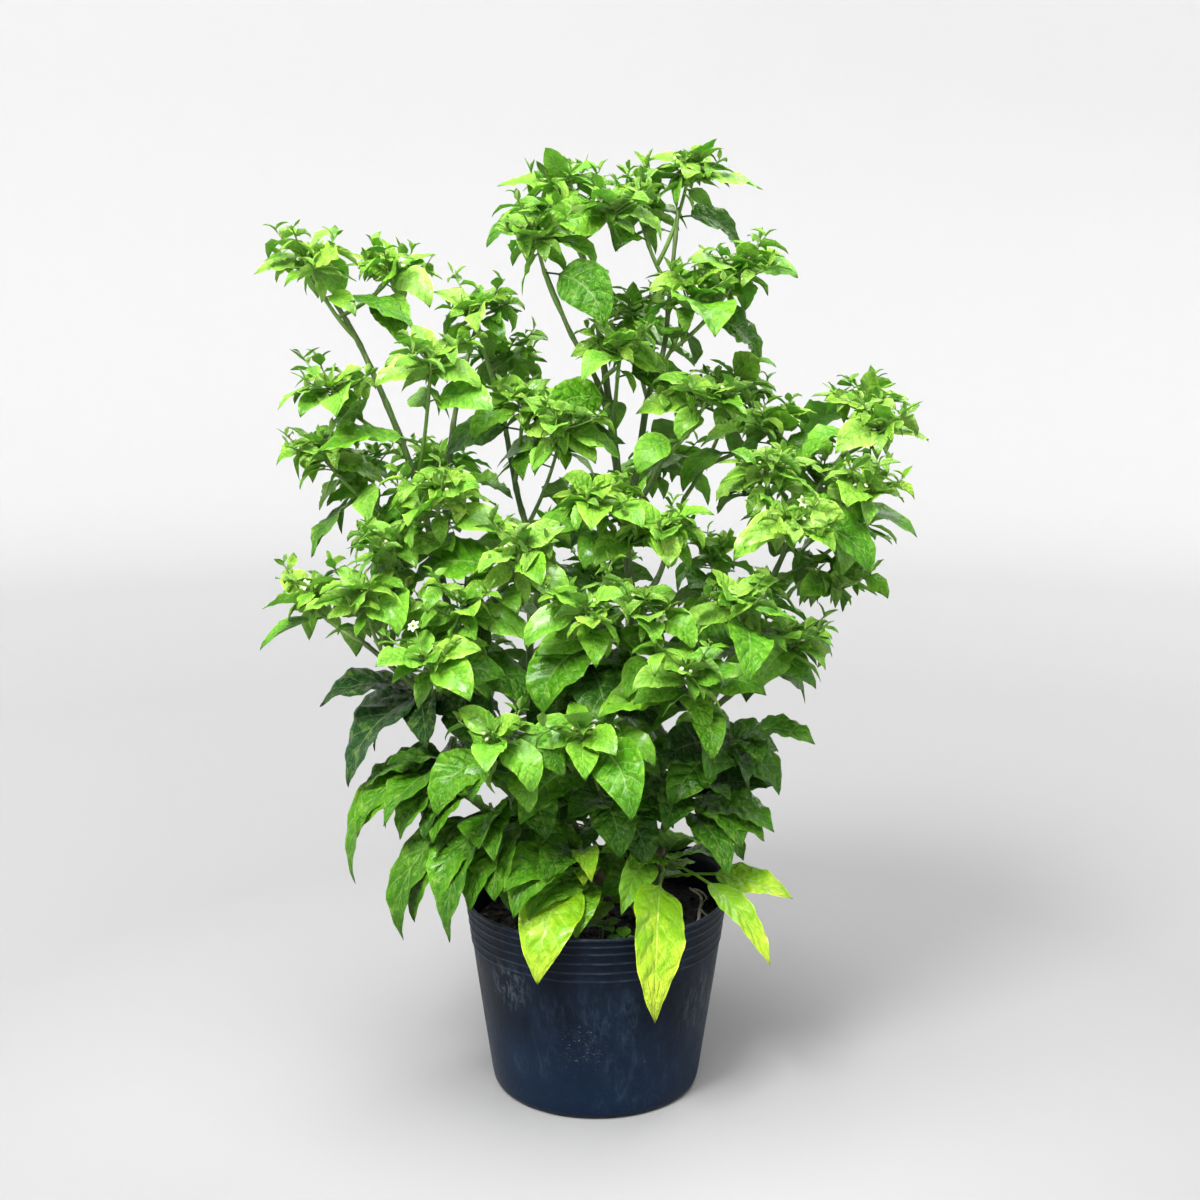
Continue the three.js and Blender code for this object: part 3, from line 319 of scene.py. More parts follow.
# Solid leaves. Half the width grows as the share along the blade to the power 0.6 and closes as
# the rest to the power 1.1. The blade folds up from its midrib, its margins wave, and it swells
# between side veins that run forwards; the underside carries the midrib. The petiole is round.
def leafPoints(leaf, grid):
    count = len(leaf["length"])
    petiole = leaf["petiole"][:, None]
    stalk = np.array(grid["stalk"])[None] * petiole
    lamina = petiole + (1 - petiole) * np.array(grid["blade"])[None]
    share = np.concatenate([stalk, lamina], axis=1)
    spine = spines(leaf)
    slot = np.minimum(share * blade["steps"], blade["steps"] - 1e-9)
    low = slot.astype(int)
    pick = np.arange(count)[:, None]
    part = (slot - low)[..., None]
    place = spine[pick, low] * (1 - part) + spine[pick, low + 1] * part
    slope = leaf["lift"][:, None] - leaf["droop"][:, None] * share ** blade["droopPower"]
    bearing = leaf["bearing"][:, None] + leaf["swerve"][:, None] * share
    roll = leaf["roll"][:, None] + leaf["twist"][:, None] * np.maximum(0, share - petiole)
    flatSide = np.stack([-np.sin(bearing), np.cos(bearing), np.zeros_like(bearing)], -1)
    flatUp = np.stack([
        -np.sin(slope) * np.cos(bearing), -np.sin(slope) * np.sin(bearing), np.cos(slope)], -1)
    turn, tilt = np.cos(roll)[..., None], np.sin(roll)[..., None]
    side = flatSide * turn + flatUp * tilt
    up = flatUp * turn - flatSide * tilt

    along = np.clip((share - petiole) / (1 - petiole), 0, 1)[..., None]
    width, length, phase, ruffled, crumpled, curl, fold, thick = (
        leaf[key][:, None, None]
        for key in ("width", "length", "wavePhase", "ruffle", "crumple", "curl", "fold", "thick"))
    stem = blade["stemRadius"] + blade["stemGrowth"] * length
    outline = blade["full"] * along ** blade["opening"] * (1 - along) ** blade["closing"]
    half = np.maximum(stem, 0.5 * width * outline)
    across = np.array(grid["columns"])[None, None]
    left, out = across > 0, np.abs(across)
    bladeness = smooth(0, blade["foot"], along)
    height = half * np.sin(fold) * (np.sqrt(out**2 + 0.01) - 0.1) * bladeness
    size = blade["wave"] * width * np.minimum(1, 4 * along * (1 - along))
    leftWave = np.sin(blade["leftWaves"] * along + phase)
    rightWave = np.sin(blade["rightWaves"] * along + 2 * phase + 1)
    height = height + size * np.where(left, leftWave, rightWave) * out**2
    ruffle = np.sin(blade["ruffles"] * along + 3 * phase + np.where(left, 0, 2)) * out**4
    height = height + blade["ruffle"] * size * ruffled * ruffle
    crumple = np.sin(blade["crumplesAlong"] * along + 2 * phase) \
        * np.sin(blade["crumplesAcross"] * across + 5 * phase)
    height = height + blade["crumple"] * width * crumpled * crumple * out * bladeness
    shifted = np.where(left, 0.0, blade["veinShift"])
    veins = np.cos(2 * np.pi * (blade["sideVeins"] * along - blade["veinSlant"] * out + shifted))
    swell = blade["swell"] * half * out * (1 - out) * 4 * ruffled
    height = height - swell * veins * bladeness
    height = height - curl * half * smooth(0.55, 1, out) ** 2 * bladeness
    spread = half * across * np.cos(fold)

    rib = stem * np.sqrt(np.maximum(0, 1 - across**2))
    top = np.where(bladeness < 1, mix(rib, height, bladeness), height)
    midrib = stem * (1.05 - along) * np.exp(-((across * half / (1.3 * stem)) ** 2)) * 1.3
    under = mix(-rib, height - thick - midrib, bladeness)
    level = place[:, :, None] + side[:, :, None] * spread[..., None]
    topPoints = level + up[:, :, None] * top[..., None]
    underPoints = level + up[:, :, None] * under[..., None]
    rings = np.concatenate([topPoints, underPoints[:, :, -2:0:-1]], axis=2)
    columns = len(grid["columns"])
    sides = 2 * columns - 2
    flat = rings.reshape(count, -1, 3)
    poles = np.stack([leaf["root"], spine[:, -1]], axis=1)
    points = np.concatenate([flat, poles], axis=1)

    ringAcross = np.concatenate([across[0, 0], across[0, 0][-2:0:-1]])
    shape = (count, share.shape[1], sides)
    mapU = np.broadcast_to(ringAcross * 0.5 + 0.5, shape).reshape(count, -1)
    mapV = np.where(share < petiole, share - petiole, along[..., 0])[..., None]
    mapV = np.broadcast_to(mapV, shape).reshape(count, -1)
    ends = np.stack([-leaf["petiole"], np.ones(count)], 1)
    mapped = np.stack([
        np.concatenate([mapU, np.full((count, 2), 0.5)], 1), np.concatenate([mapV, ends], 1)], -1)
    rows = share.shape[1]
    edge = np.zeros((rows, sides), int)
    edge[len(grid["stalk"]):, 0] = 1
    edge[len(grid["stalk"]):, columns - 1] = 2
    edge = np.concatenate([edge.ravel(), [0, 0]])
    edge = np.where(edge > 0, edge + 2 * np.arange(count)[:, None], 0)
    faces, slots = leafFaces(count, rows, columns)
    perPoint = points.shape[1]
    values = {kind: np.repeat(leaf[kind], perPoint) for kind in leafKinds}
    return points.reshape(-1, 3), faces, slots, mapped, edge.ravel(), values


# Leaves of one grid, worked out together
def addLeaves(gathered, leaves, grid):
    if leaves:
        points, faces, slots, mapped, edge, values = leafPoints(asArrays(leaves), grid)
        gathered.add(points, faces, slots, mapped, edge, **values)


facing = {"roll": 46, "reach": 80, "front": 0.9}
# Ways to bring a crowded leaf clear: turn, lift and a share of its size
shifts = [
    [0, 0, 1], [20, 0, 1], [-20, 0, 1], [0, 18, 1], [0, -18, 1], [40, 0, 1], [-40, 0, 1], [26, 22, 0.9],
    [-26, 22, 0.9], [26, -22, 0.9], [-26, -22, 0.9], [62, 0, 0.86], [-62, 0, 0.86], [0, 36, 0.8],
    [90, 12, 0.8], [-90, 12, 0.8], [140, 10, 0.76],
]


# A leaf rolls to face outwards and to the front: by the sideways part of the way out
def outwardRoll(root, bearing):
    x = root[0] / facing["reach"]
    y = root[1] / facing["reach"] - facing["front"]
    sideways = (y * math.cos(bearing) - x * math.sin(bearing)) / max(math.hypot(x, y), 1)
    return -math.radians(facing["roll"]) * sideways


# Leaf at the place where the CAD node has it: the first shift whose tip is a corner of the node
def settled(leaf, corners):
    for turn, lift, share in shifts:
        bearing = leaf["bearing"] + math.radians(turn)
        moved = dict(
            leaf, bearing=bearing, lift=leaf["lift"] + math.radians(lift), length=leaf["length"] * share,
            width=leaf["width"] * share, roll=leaf["roll"] + outwardRoll(leaf["root"], bearing))
        tip = spines(asArrays([moved]))[0, -1]
        if np.abs(corners - tip).sum(axis=1).min() < 0.1:
            return moved
    return None


dressing = {
    "age": 0.1, "yellow": 0.03, "fold": 2, "twist": 0.14, "ruffle": (0.7, 1.4), "crumple": (0.3, 1.3),
    "curl": (-0.02, 0.14),
}


# What a leaf has beyond its CAD shape, drawn from a seeded generator: a single value is a spread
# about the usual, and a pair is a range
def dressed(leaf, age, yellow, rng):
    leaf["leafAge"] = float(np.clip(age + rng.normal(0, dressing["age"]), 0, 1))
    leaf["leafTone"] = rng.random()
    leaf["leafYellow"] = float(np.clip(yellow + rng.normal(0, dressing["yellow"]), 0, 1))
    leaf["fold"] = math.radians(blade["fold"] + rng.normal(0, dressing["fold"]))
    leaf["twist"] = rng.normal(0, dressing["twist"])
    for kind in ("ruffle", "crumple", "curl"):
        leaf[kind] = rng.uniform(*dressing[kind])
    leaf["thick"] = blade["thickness"]
    return leaf


# Leaf from angles in degrees, with its width as a share of its length and its waves at a random
# phase
def newLeaf(root, length, widthShare, bearing, lift, droop, swerve, roll, petiole, rng):
    return {
        "root": np.array(root, float), "length": length, "width": length * widthShare,
        "bearing": math.radians(bearing), "lift": math.radians(lift), "droop": math.radians(droop),
        "swerve": math.radians(swerve), "roll": math.radians(roll), "petiole": petiole,
        "wavePhase": rng.uniform(0, 6.28),
    }


whorl = {
    "leaves": 6, "segments": 2, "outerLength": 60, "innerLength": 36, "widthShare": 0.54, "outerLift": 6,
    "innerLift": 56, "outerDroop": 72, "innerDroop": 46, "from": 0.82, "petiole": 0.12,
}
twigLeaf = {
    "spacing": 36, "length": 82, "widthShare": 0.52, "lift": 16, "droop": 82, "petiole": 0.18, "from": 0.22,
}


# Places on a shoot's twig between which its leaves spring: twig leaves first, then the whorl
def shootShares(curve):
    leafy = lengthOf(curve) * (whorl["from"] - twigLeaf["from"])
    oldLeaves = max(1, math.floor(leafy / twigLeaf["spacing"] + 0.5))
    shares = [0] + [mix(twigLeaf["from"], whorl["from"], i / oldLeaves) for i in range(oldLeaves + 1)]
    return shares + [mix(whorl["from"], 1, i / whorl["segments"]) for i in range(1, whorl["segments"] + 1)]


# Point halfway along one stretch of a twig
def rootOn(curve, shares, segment):
    return curve([(shares[segment] + shares[segment + 1]) / 2])[0]


# Young leaves of a whorl, a golden angle apart, shorter and more upright towards its heart
def whorlLeaves(curve, shares, seed):
    draw = numberStream(seed)
    turn = 360 * draw()
    first = len(shares) - 1 - whorl["segments"]
    leaves = []
    for i in range(whorl["leaves"]):
        inner = i / (whorl["leaves"] - 1)
        segment = first + (i * whorl["segments"]) // whorl["leaves"]
        length = mix(whorl["outerLength"], whorl["innerLength"], inner) * (0.84 + 0.32 * draw())
        leaves.append({
            "root": rootOn(curve, shares, segment), "length": length,
            "width": length * whorl["widthShare"] * (0.85 + 0.3 * draw()),
            "petiole": whorl["petiole"],
            "bearing": math.radians(turn + goldenAngle * i + 24 * (draw() - 0.5)),
            "lift": math.radians(mix(whorl["outerLift"], whorl["innerLift"], inner) + 18 * (draw() - 0.5)),
            "droop": math.radians(mix(whorl["outerDroop"], whorl["innerDroop"], inner) * (0.5 + draw())),
            "swerve": math.radians(50 * (draw() - 0.5)), "roll": math.radians(34 * (draw() - 0.5)),
            "wavePhase": 6.28 * draw(),
        })
    return leaves


# Older leaves along a shoot's twig, one to each stretch of it
def twigLeaves(curve, shares, seed):
    draw = numberStream(seed)
    turn = 360 * draw()
    leaves = []
    for i in range(len(shares) - 2 - whorl["segments"]):
        length = twigLeaf["length"] * (0.74 + 0.52 * draw())
        leaves.append({
            "root": rootOn(curve, shares, i + 1), "length": length,
            "width": length * twigLeaf["widthShare"] * (0.85 + 0.3 * draw()),
            "petiole": twigLeaf["petiole"],
            "bearing": math.radians(turn + goldenAngle * i + 30 * (draw() - 0.5)),
            "lift": math.radians(twigLeaf["lift"] + 26 * (draw() - 0.5)),
            "droop": math.radians(twigLeaf["droop"] * (0.5 + draw())),
            "swerve": math.radians(44 * (draw() - 0.5)), "roll": math.radians(36 * (draw() - 0.5)),
            "wavePhase": 6.28 * draw(),
        })
    return leaves


# Bearing, slope and length that bring a leaf with a given droop from its root to its tip
def aimed(root, tip, droop):
    flat = {"root": np.zeros(3), "bearing": 0, "lift": 0, "droop": droop, "swerve": 0, "length": 1}
    end = spines(asArrays([flat]))[0, -1]
    reach = np.array(tip) - root
    return {
        "bearing": math.atan2(reach[1], reach[0]),
        "lift": math.atan2(reach[2], math.hypot(reach[0], reach[1])) - math.atan2(end[2], end[0]),
        "length": np.linalg.norm(reach) / math.hypot(end[0], end[2]),
    }


# Named inputs and outputs of a node group
def socketsOf(tree, ins, outs):
    for name, kind, value in ins:
        socket = tree.interface.new_socket(name, in_out="INPUT", socket_type=kind)
        socket.default_value = value
    for name, kind in outs:
        tree.interface.new_socket(name, in_out="OUTPUT", socket_type=kind)
    return tree.nodes.new("NodeGroupInput"), tree.nodes.new("NodeGroupOutput")


# Nodes of one tree: a method adds a node and gives the socket with its result
class Nodes:
    def __init__(self, tree):
        self.tree = tree

    def new(self, kind, inputs=None, **settings):
        node = self.tree.nodes.new(kind)
        for key, value in settings.items():
            setattr(node, key, value)
        for key, value in (inputs or {}).items():
            self.feed(node.inputs[key], value)
        return node

    def feed(self, socket, value):
        if isinstance(value, bpy.types.NodeSocket):
            self.tree.links.new(value, socket)
        else:
            socket.default_value = value

    def math(self, operation, first, second=0.0, third=0.0):
        node = self.new("ShaderNodeMath", {0: first, 1: second, 2: third}, operation=operation)
        return node.outputs[0]

    def vector(self, operation, first, second=(0.0, 0.0, 0.0)):
        return self.new("ShaderNodeVectorMath", {0: first, 1: second}, operation=operation)

    def range(self, value, low, high, toLow=0.0, toHigh=1.0, kind="SMOOTHSTEP"):
        node = self.new("ShaderNodeMapRange", {
            "Value": value, "From Min": low, "From Max": high, "To Min": toLow, "To Max": toHigh},
            interpolation_type=kind)
        return node.outputs[0]

    def blend(self, share, first, second, kind="MIX"):
        node = self.new("ShaderNodeMix", {0: share, 6: first, 7: second}, data_type="RGBA", blend_type=kind)
        return node.outputs[2]

    def times(self, colour, factor):
        return self.blend(1.0, colour, rgba(*factor), "MULTIPLY")

    def ramp(self, value, stops):
        node = self.new("ShaderNodeValToRGB", {0: value})
        elements = node.color_ramp.elements
        elements.remove(elements[1])
        elements[0].position, elements[0].color = stops[0][0], rgba(*stops[0][1])
        for position, colour in stops[1:]:
            elements.new(position).color = rgba(*colour)
        return node.outputs[0]

    def noise(self, scale, detail=3.0, rough=0.55, vector=None, distortion=0.0):
        node = self.new("ShaderNodeTexNoise", {
            "Scale": scale, "Detail": detail, "Roughness": rough, "Distortion": distortion})
        self.feed(node.inputs["Vector"], vector if vector else self.place())
        return node.outputs["Fac"]

    def place(self):
        return self.new("ShaderNodeTexCoord").outputs["Object"]

    def stretched(self, scale):
        return self.new("ShaderNodeMapping", {"Vector": self.place(), "Scale": scale}).outputs[0]

    # Surface map of a leaf or petal, and its two parts: shares across and along
    def onLeaf(self):
        surface = self.new("ShaderNodeUVMap", uv_map="surfaceMap").outputs[0]
        parts = self.new("ShaderNodeSeparateXYZ", {0: surface})
        return surface, parts.outputs[0], parts.outputs[1]

    def value(self, name):
        return self.new("ShaderNodeAttribute", attribute_name=name).outputs["Fac"]

    def bump(self, height, distance, strength=1.0):
        return self.new("ShaderNodeBump", {
            "Height": height, "Distance": distance, "Strength": strength}).outputs["Normal"]


def rgba(red, green, blue):
    return (red, green, blue, 1.0)


# Leaf veins from the surface map: masks of the midrib and side veins and of the fine net, and a
# height that sinks along the veins and swells between them
def veinGroup():
    tree = bpy.data.node_groups.new("leafVeins", "ShaderNodeTree")
    ins, outs = socketsOf(tree, [("netScale", "NodeSocketFloat", 17.0)], [
        ("rib", "NodeSocketFloat"), ("sideVein", "NodeSocketFloat"), ("net", "NodeSocketFloat"),
        ("height", "NodeSocketFloat"), ("margin", "NodeSocketFloat"), ("pucker", "NodeSocketFloat")])
    n = Nodes(tree)
    surface, across, along = n.onLeaf()
    across = n.math("SUBTRACT", n.math("MULTIPLY", across, 2.0), 1.0)
    out = n.math("ABSOLUTE", across)
    ribWidth = n.math("MULTIPLY_ADD", along, -0.045, 0.075)
    rib = n.math("SUBTRACT", 1.0, n.range(n.math("DIVIDE", out, ribWidth), 0.35, 1.0))
    leftShift = n.math("MULTIPLY", n.math("LESS_THAN", across, 0.0), 0.22)
    run = n.math("ADD", n.math("MULTIPLY_ADD", out, -1.3, n.math("MULTIPLY", along, 6.0)), leftShift)
    wobble = n.math("MULTIPLY_ADD", n.noise(60.0, 2.0), 0.3, -0.15)
    apart = n.math("PINGPONG", n.math("ADD", run, wobble), 0.5)
    veinWidth = n.math("MULTIPLY_ADD", out, -0.05, 0.085)
    vein = n.math("SUBTRACT", 1.0, n.range(n.math("DIVIDE", apart, veinWidth), 0.25, 1.0))
    vein = n.math("MULTIPLY", vein, n.range(out, 0.98, 0.7))
    vein = n.math("MULTIPLY", vein, n.range(along, 0.0, 0.05))
    tone = n.value("leafTone")
    apartLeaves = n.new("ShaderNodeCombineXYZ", {
        0: n.math("MULTIPLY", tone, 37.0), 1: n.math("MULTIPLY", tone, 91.0)})
    spread = n.vector("MULTIPLY", surface, (1.0, 2.0, 0.0)).outputs[0]
    spread = n.vector("ADD", spread, apartLeaves.outputs[0]).outputs[0]
    cells = n.new("ShaderNodeTexVoronoi", {"Vector": spread, "Scale": ins.outputs["netScale"]},
                  feature="DISTANCE_TO_EDGE", voronoi_dimensions="2D")
    net = n.range(cells.outputs["Distance"], 0.12, 0.0)
    quilt = n.range(cells.outputs["Distance"], 0.0, 0.35)
    swell = n.range(apart, 0.0, 0.4)
    bubbles = n.new("ShaderNodeTexVoronoi", {"Vector": spread, "Scale": 4.6}, feature="DISTANCE_TO_EDGE",
                    voronoi_dimensions="2D")
    pucker = n.range(bubbles.outputs["Distance"], 0.0, 0.32)
    pucker = n.math("MULTIPLY", pucker, n.range(n.noise(50.0, 1.0), 0.3, 0.6, 0.35, 1.0))
    wrinkled = n.math("MULTIPLY", pucker, n.range(n.value("leafAge"), 0.25, 0.5, 0.55, 1.15))
    height = n.math("MULTIPLY_ADD", quilt, 0.22, n.math("MULTIPLY", swell, 0.62))
    height = n.math("MULTIPLY_ADD", wrinkled, 0.8, height)
    height = n.math("MULTIPLY_ADD", rib, -0.5, height)
    for name, value in (("rib", rib), ("sideVein", vein), ("net", net), ("height", height),
                        ("margin", n.range(out, 0.86, 1.0)), ("pucker", pucker)):
        n.feed(outs.inputs[name], value)
    return tree


leafLook = {
    "ages": [
        (0.0, (0.47, 0.75, 0.13)), (0.25, (0.25, 0.59, 0.052)), (0.5, (0.096, 0.31, 0.009)),
        (0.75, (0.038, 0.15, 0.007)), (1.0, (0.011, 0.060, 0.016))
    ],
    "warm": (1.3, 1.08, 0.5), "blotch": (0.46, 0.66, 0.12), "hollow": (0.52, 0.62, 0.5),
    "heart": (0.40, 0.64, 0.30), "tired": (0.22, 0.47, 0.008), "yellow": (0.45, 0.61, 0.035),
    "veinLight": (1.7, 1.45, 1.8), "vein": (0.70, 0.84, 0.36), "edgeLight": (1.7, 1.4, 1.5),
    "underside": (0.36, 0.50, 0.20),
}


# Leaf colour from age, tone and yellowing: lime when young, through fresh green to dark green;
# pale veins and edges, darker hearts, painted shade in the creases between the puckers, and
# yellow that starts at the tip and between the veins
def leafColourGroup():
    tree = bpy.data.node_groups.new("leafColour", "ShaderNodeTree")
    ins, outs = socketsOf(tree, [
        (name, "NodeSocketFloat", value) for name, value in (
            ("rib", 0.0), ("sideVein", 0.0), ("net", 0.0), ("margin", 0.0), ("pucker", 0.5),
            ("veinShare", 0.6), ("paleness", 0.0))
    ], [("colour", "NodeSocketColor"), ("gloss", "NodeSocketFloat")])
    n = Nodes(tree)
    age = n.math("ADD", n.value("leafAge"), n.math("MULTIPLY_ADD", n.noise(45.0, 2.0), 0.24, -0.12))
    colour = n.ramp(age, leafLook["ages"])
    warm = n.range(n.value("leafTone"), 0.3, 1.0, 0.0, 0.5, "LINEAR")
    colour = n.blend(warm, colour, n.times(colour, leafLook["warm"]))
    blotch = n.math("MULTIPLY", n.range(n.noise(110.0, 3.0, 0.62), 0.5, 0.72), 0.42)
    colour = n.blend(blotch, colour, n.blend(0.6, colour, rgba(*leafLook["blotch"])))
    # Painted shade: darker in the creases between the puckers
    colour = n.blend(n.range(ins.outputs["pucker"], 0.75, 0.0, 0.0, 0.42), colour,
                     n.times(colour, leafLook["hollow"]))
    _, across, along = n.onLeaf()
    out = n.math("ABSOLUTE", n.math("MULTIPLY_ADD", across, 2.0, -1.0))
    mottle = n.range(n.noise(80.0, 3.0, 0.6), 0.36, 0.6, 0.2, 0.7)
    heart = n.math("MULTIPLY", n.range(out, 0.9, 0.3), mottle)
    colour = n.blend(heart, colour, n.times(colour, leafLook["heart"]))
    patch = n.math("MULTIPLY_ADD", n.noise(46.0, 4.0, 0.66), 2.4, -1.35)
    patch = n.math("ADD", n.value("leafYellow"), patch)
    patch = n.math("MULTIPLY_ADD", ins.outputs["margin"], 0.2, patch)
    patch = n.math("MULTIPLY_ADD", ins.outputs["pucker"], 0.2, patch)
    tired = n.range(n.value("leafYellow"), 0.1, 0.8)
    tip = n.math("MULTIPLY_ADD", along, n.math("MULTIPLY_ADD", tired, 1.0, 0.25), -0.85)
    patch = n.math("ADD", tip, patch)
    colour = n.blend(n.math("MULTIPLY", tired, 0.8), colour, rgba(*leafLook["tired"]))
    colour = n.blend(n.range(patch, 0.3, 1.3), colour, rgba(*leafLook["yellow"]))
    veined = n.math("MULTIPLY", n.math("MAXIMUM", ins.outputs["rib"], n.math(
        "MULTIPLY", ins.outputs["sideVein"], 0.7)), ins.outputs["veinShare"])
    veined = n.math("MULTIPLY_ADD", ins.outputs["net"], 0.12, veined)
    light = n.blend(0.24, n.times(colour, leafLook["veinLight"]), rgba(*leafLook["vein"]))
    colour = n.blend(veined, colour, light)
    edge = n.range(ins.outputs["margin"], 0.3, 1.0, 0.0, 0.5)
    colour = n.blend(edge, colour, n.times(colour, leafLook["edgeLight"]))
    colour = n.blend(ins.outputs["paleness"], colour, rgba(*leafLook["underside"]))
    n.feed(outs.inputs["colour"], colour)
    n.feed(outs.inputs["gloss"], n.range(n.noise(220.0, 2.0), 0.35, 0.7, -0.06, 0.1))
    return tree


veins = veinGroup()
leafColour = leafColourGroup()


# Empty material, the nodes of its tree and its output
def newMaterial(name):
    material = bpy.data.materials.new(name)
    material.use_nodes = True
    material.node_tree.nodes.clear()
    n = Nodes(material.node_tree)
    output = n.new("ShaderNodeOutputMaterial")
    return material, n, output


# Leaf surface: satin, waxy when young, with some light passed through the blade
def leafMaterial(name, veinShare, paleness, roughness, through, distance, coat):
    material, n, output = newMaterial(name)
    pattern = n.new("ShaderNodeGroup", node_tree=veins)
    colour = n.new("ShaderNodeGroup", {"veinShare": veinShare, "paleness": paleness}, node_tree=leafColour)
    for key in ("rib", "sideVein", "net", "margin", "pucker"):
        n.feed(colour.inputs[key], pattern.outputs[key])
    wax = n.range(n.value("leafAge"), 0.3, 0.75, coat, 0.2 * coat) if coat else 0.0
    shader = n.new("ShaderNodeBsdfPrincipled", {
        "Base Color": colour.outputs["colour"], "Specular IOR Level": 0.34, "Coat Weight": wax,
        "Specular Tint": rgba(0.62, 1.0, 0.34), "Coat Roughness": 0.2,
        "Roughness": n.math("ADD", colour.outputs["gloss"], roughness),
        "Normal": n.bump(pattern.outputs["height"], distance)})
    glow = n.new("ShaderNodeBsdfTranslucent", {"Color": n.blend(
        1.0, colour.outputs["colour"], rgba(0.95, 1.2, 0.5), "MULTIPLY")})
    young = n.range(n.value("leafAge"), 0.08, 0.55, through + 0.16, through - 0.04)
    both = n.new("ShaderNodeMixShader", {0: young, 1: shader.outputs[0], 2: glow.outputs[0]})
    n.feed(output.inputs[0], both.outputs[0])
    return material


leafTop = leafMaterial("leafTop", 0.55, 0.0, 0.33, 0.2, 0.0009, 0.4)
leafUnder = leafMaterial("leafUnder", 0.8, 0.34, 0.6, 0.22, 0.0009, 0.0)


# Green twig: ribbed bark, paler along the ridges, browner where it is old
def twigMaterial(name, young, old, fade):
    material, n, output = newMaterial(name)
    streak = n.noise(1.0, 4.0, 0.6, n.stretched((520, 520, 70)))
    height = n.math("SUBTRACT", n.new("ShaderNodeSeparateXYZ", {0: n.place()}).outputs[2], fade)
    aged = n.math("MULTIPLY_ADD", n.noise(30.0, 4.0), 0.9, -0.45)
    aged = n.range(n.math("ADD", n.range(height, 0.1, -0.12), aged), 0.1, 0.9)
    colour = n.blend(aged, rgba(*young), rgba(*old))
    ridge = n.blend(0.5, colour, rgba(0.42, 0.5, 0.2))
    colour = n.blend(n.range(streak, 0.42, 0.68, 0.0, 0.5), colour, ridge)
    spots = n.new("ShaderNodeTexVoronoi", {"Vector": n.stretched((1, 1, 0.35)), "Scale": 330.0})
    colour = n.blend(n.math("MULTIPLY", n.range(spots.outputs["Distance"], 0.3, 0.16), aged), colour,
                     rgba(0.36, 0.30, 0.20))
    shader = n.new("ShaderNodeBsdfPrincipled", {
        "Base Color": colour, "Roughness": n.range(streak, 0.3, 0.7, 0.42, 0.62),
        "Normal": n.bump(n.math("MULTIPLY_ADD", spots.outputs["Distance"], 0.2, streak), 0.0006)})
    n.feed(output.inputs[0], shader.outputs[0])
    return material


greenTwig = twigMaterial("greenTwig", (0.13, 0.26, 0.035), (0.10, 0.18, 0.04), -1.0)
woodyBark = twigMaterial("woodyBark", (0.065, 0.13, 0.022), (0.13, 0.095, 0.05), 0.30)


# Petals and buds: thin, waxy greenish white, greener at the base
def petalMaterial():
    material, n, output = newMaterial("petal")
    _, _, along = n.onLeaf()
    colour = n.blend(n.range(along, 0.55, 0.0), rgba(0.66, 0.72, 0.42), rgba(0.36, 0.52, 0.12))
    colour = n.blend(n.range(n.noise(700.0, 3.0), 0.4, 0.8, 0.0, 0.3), colour, rgba(0.6, 0.7, 0.35))
    shader = n.new("ShaderNodeBsdfPrincipled", {
        "Base Color": colour, "Roughness": n.range(n.noise(900.0, 2.0), 0.3, 0.7, 0.42, 0.58),
        "Normal": n.bump(n.noise(1400.0, 2.0), 0.0002)})
    n.feed(output.inputs[0], shader.outputs[0])
    return material


petal = petalMaterial()


# Rubbed places on the pot wall, in metres: dust at the upper left and the right, and fine bright
# scratches low in front
potScuffs = [
    {"place": (-0.078, -0.080, 0.122), "reach": 0.034, "share": 0.55, "grain": (170, 170, 75), "from": 0.47,
     "colour": (0.075, 0.095, 0.12)},
    {"place": (0.096, -0.050, 0.095), "reach": 0.05, "share": 0.5, "grain": (190, 190, 55), "from": 0.48,
     "colour": (0.07, 0.09, 0.115)},
    {"place": (-0.012, -0.104, 0.072), "reach": 0.03, "share": 0.9, "grain": (330, 330, 900), "from": 0.60,
     "colour": (0.36, 0.42, 0.48)},
    {"place": (0.04, 0.098, 0.09), "reach": 0.045, "share": 0.5, "grain": (180, 180, 60), "from": 0.48,
     "colour": (0.07, 0.09, 0.115)},
]
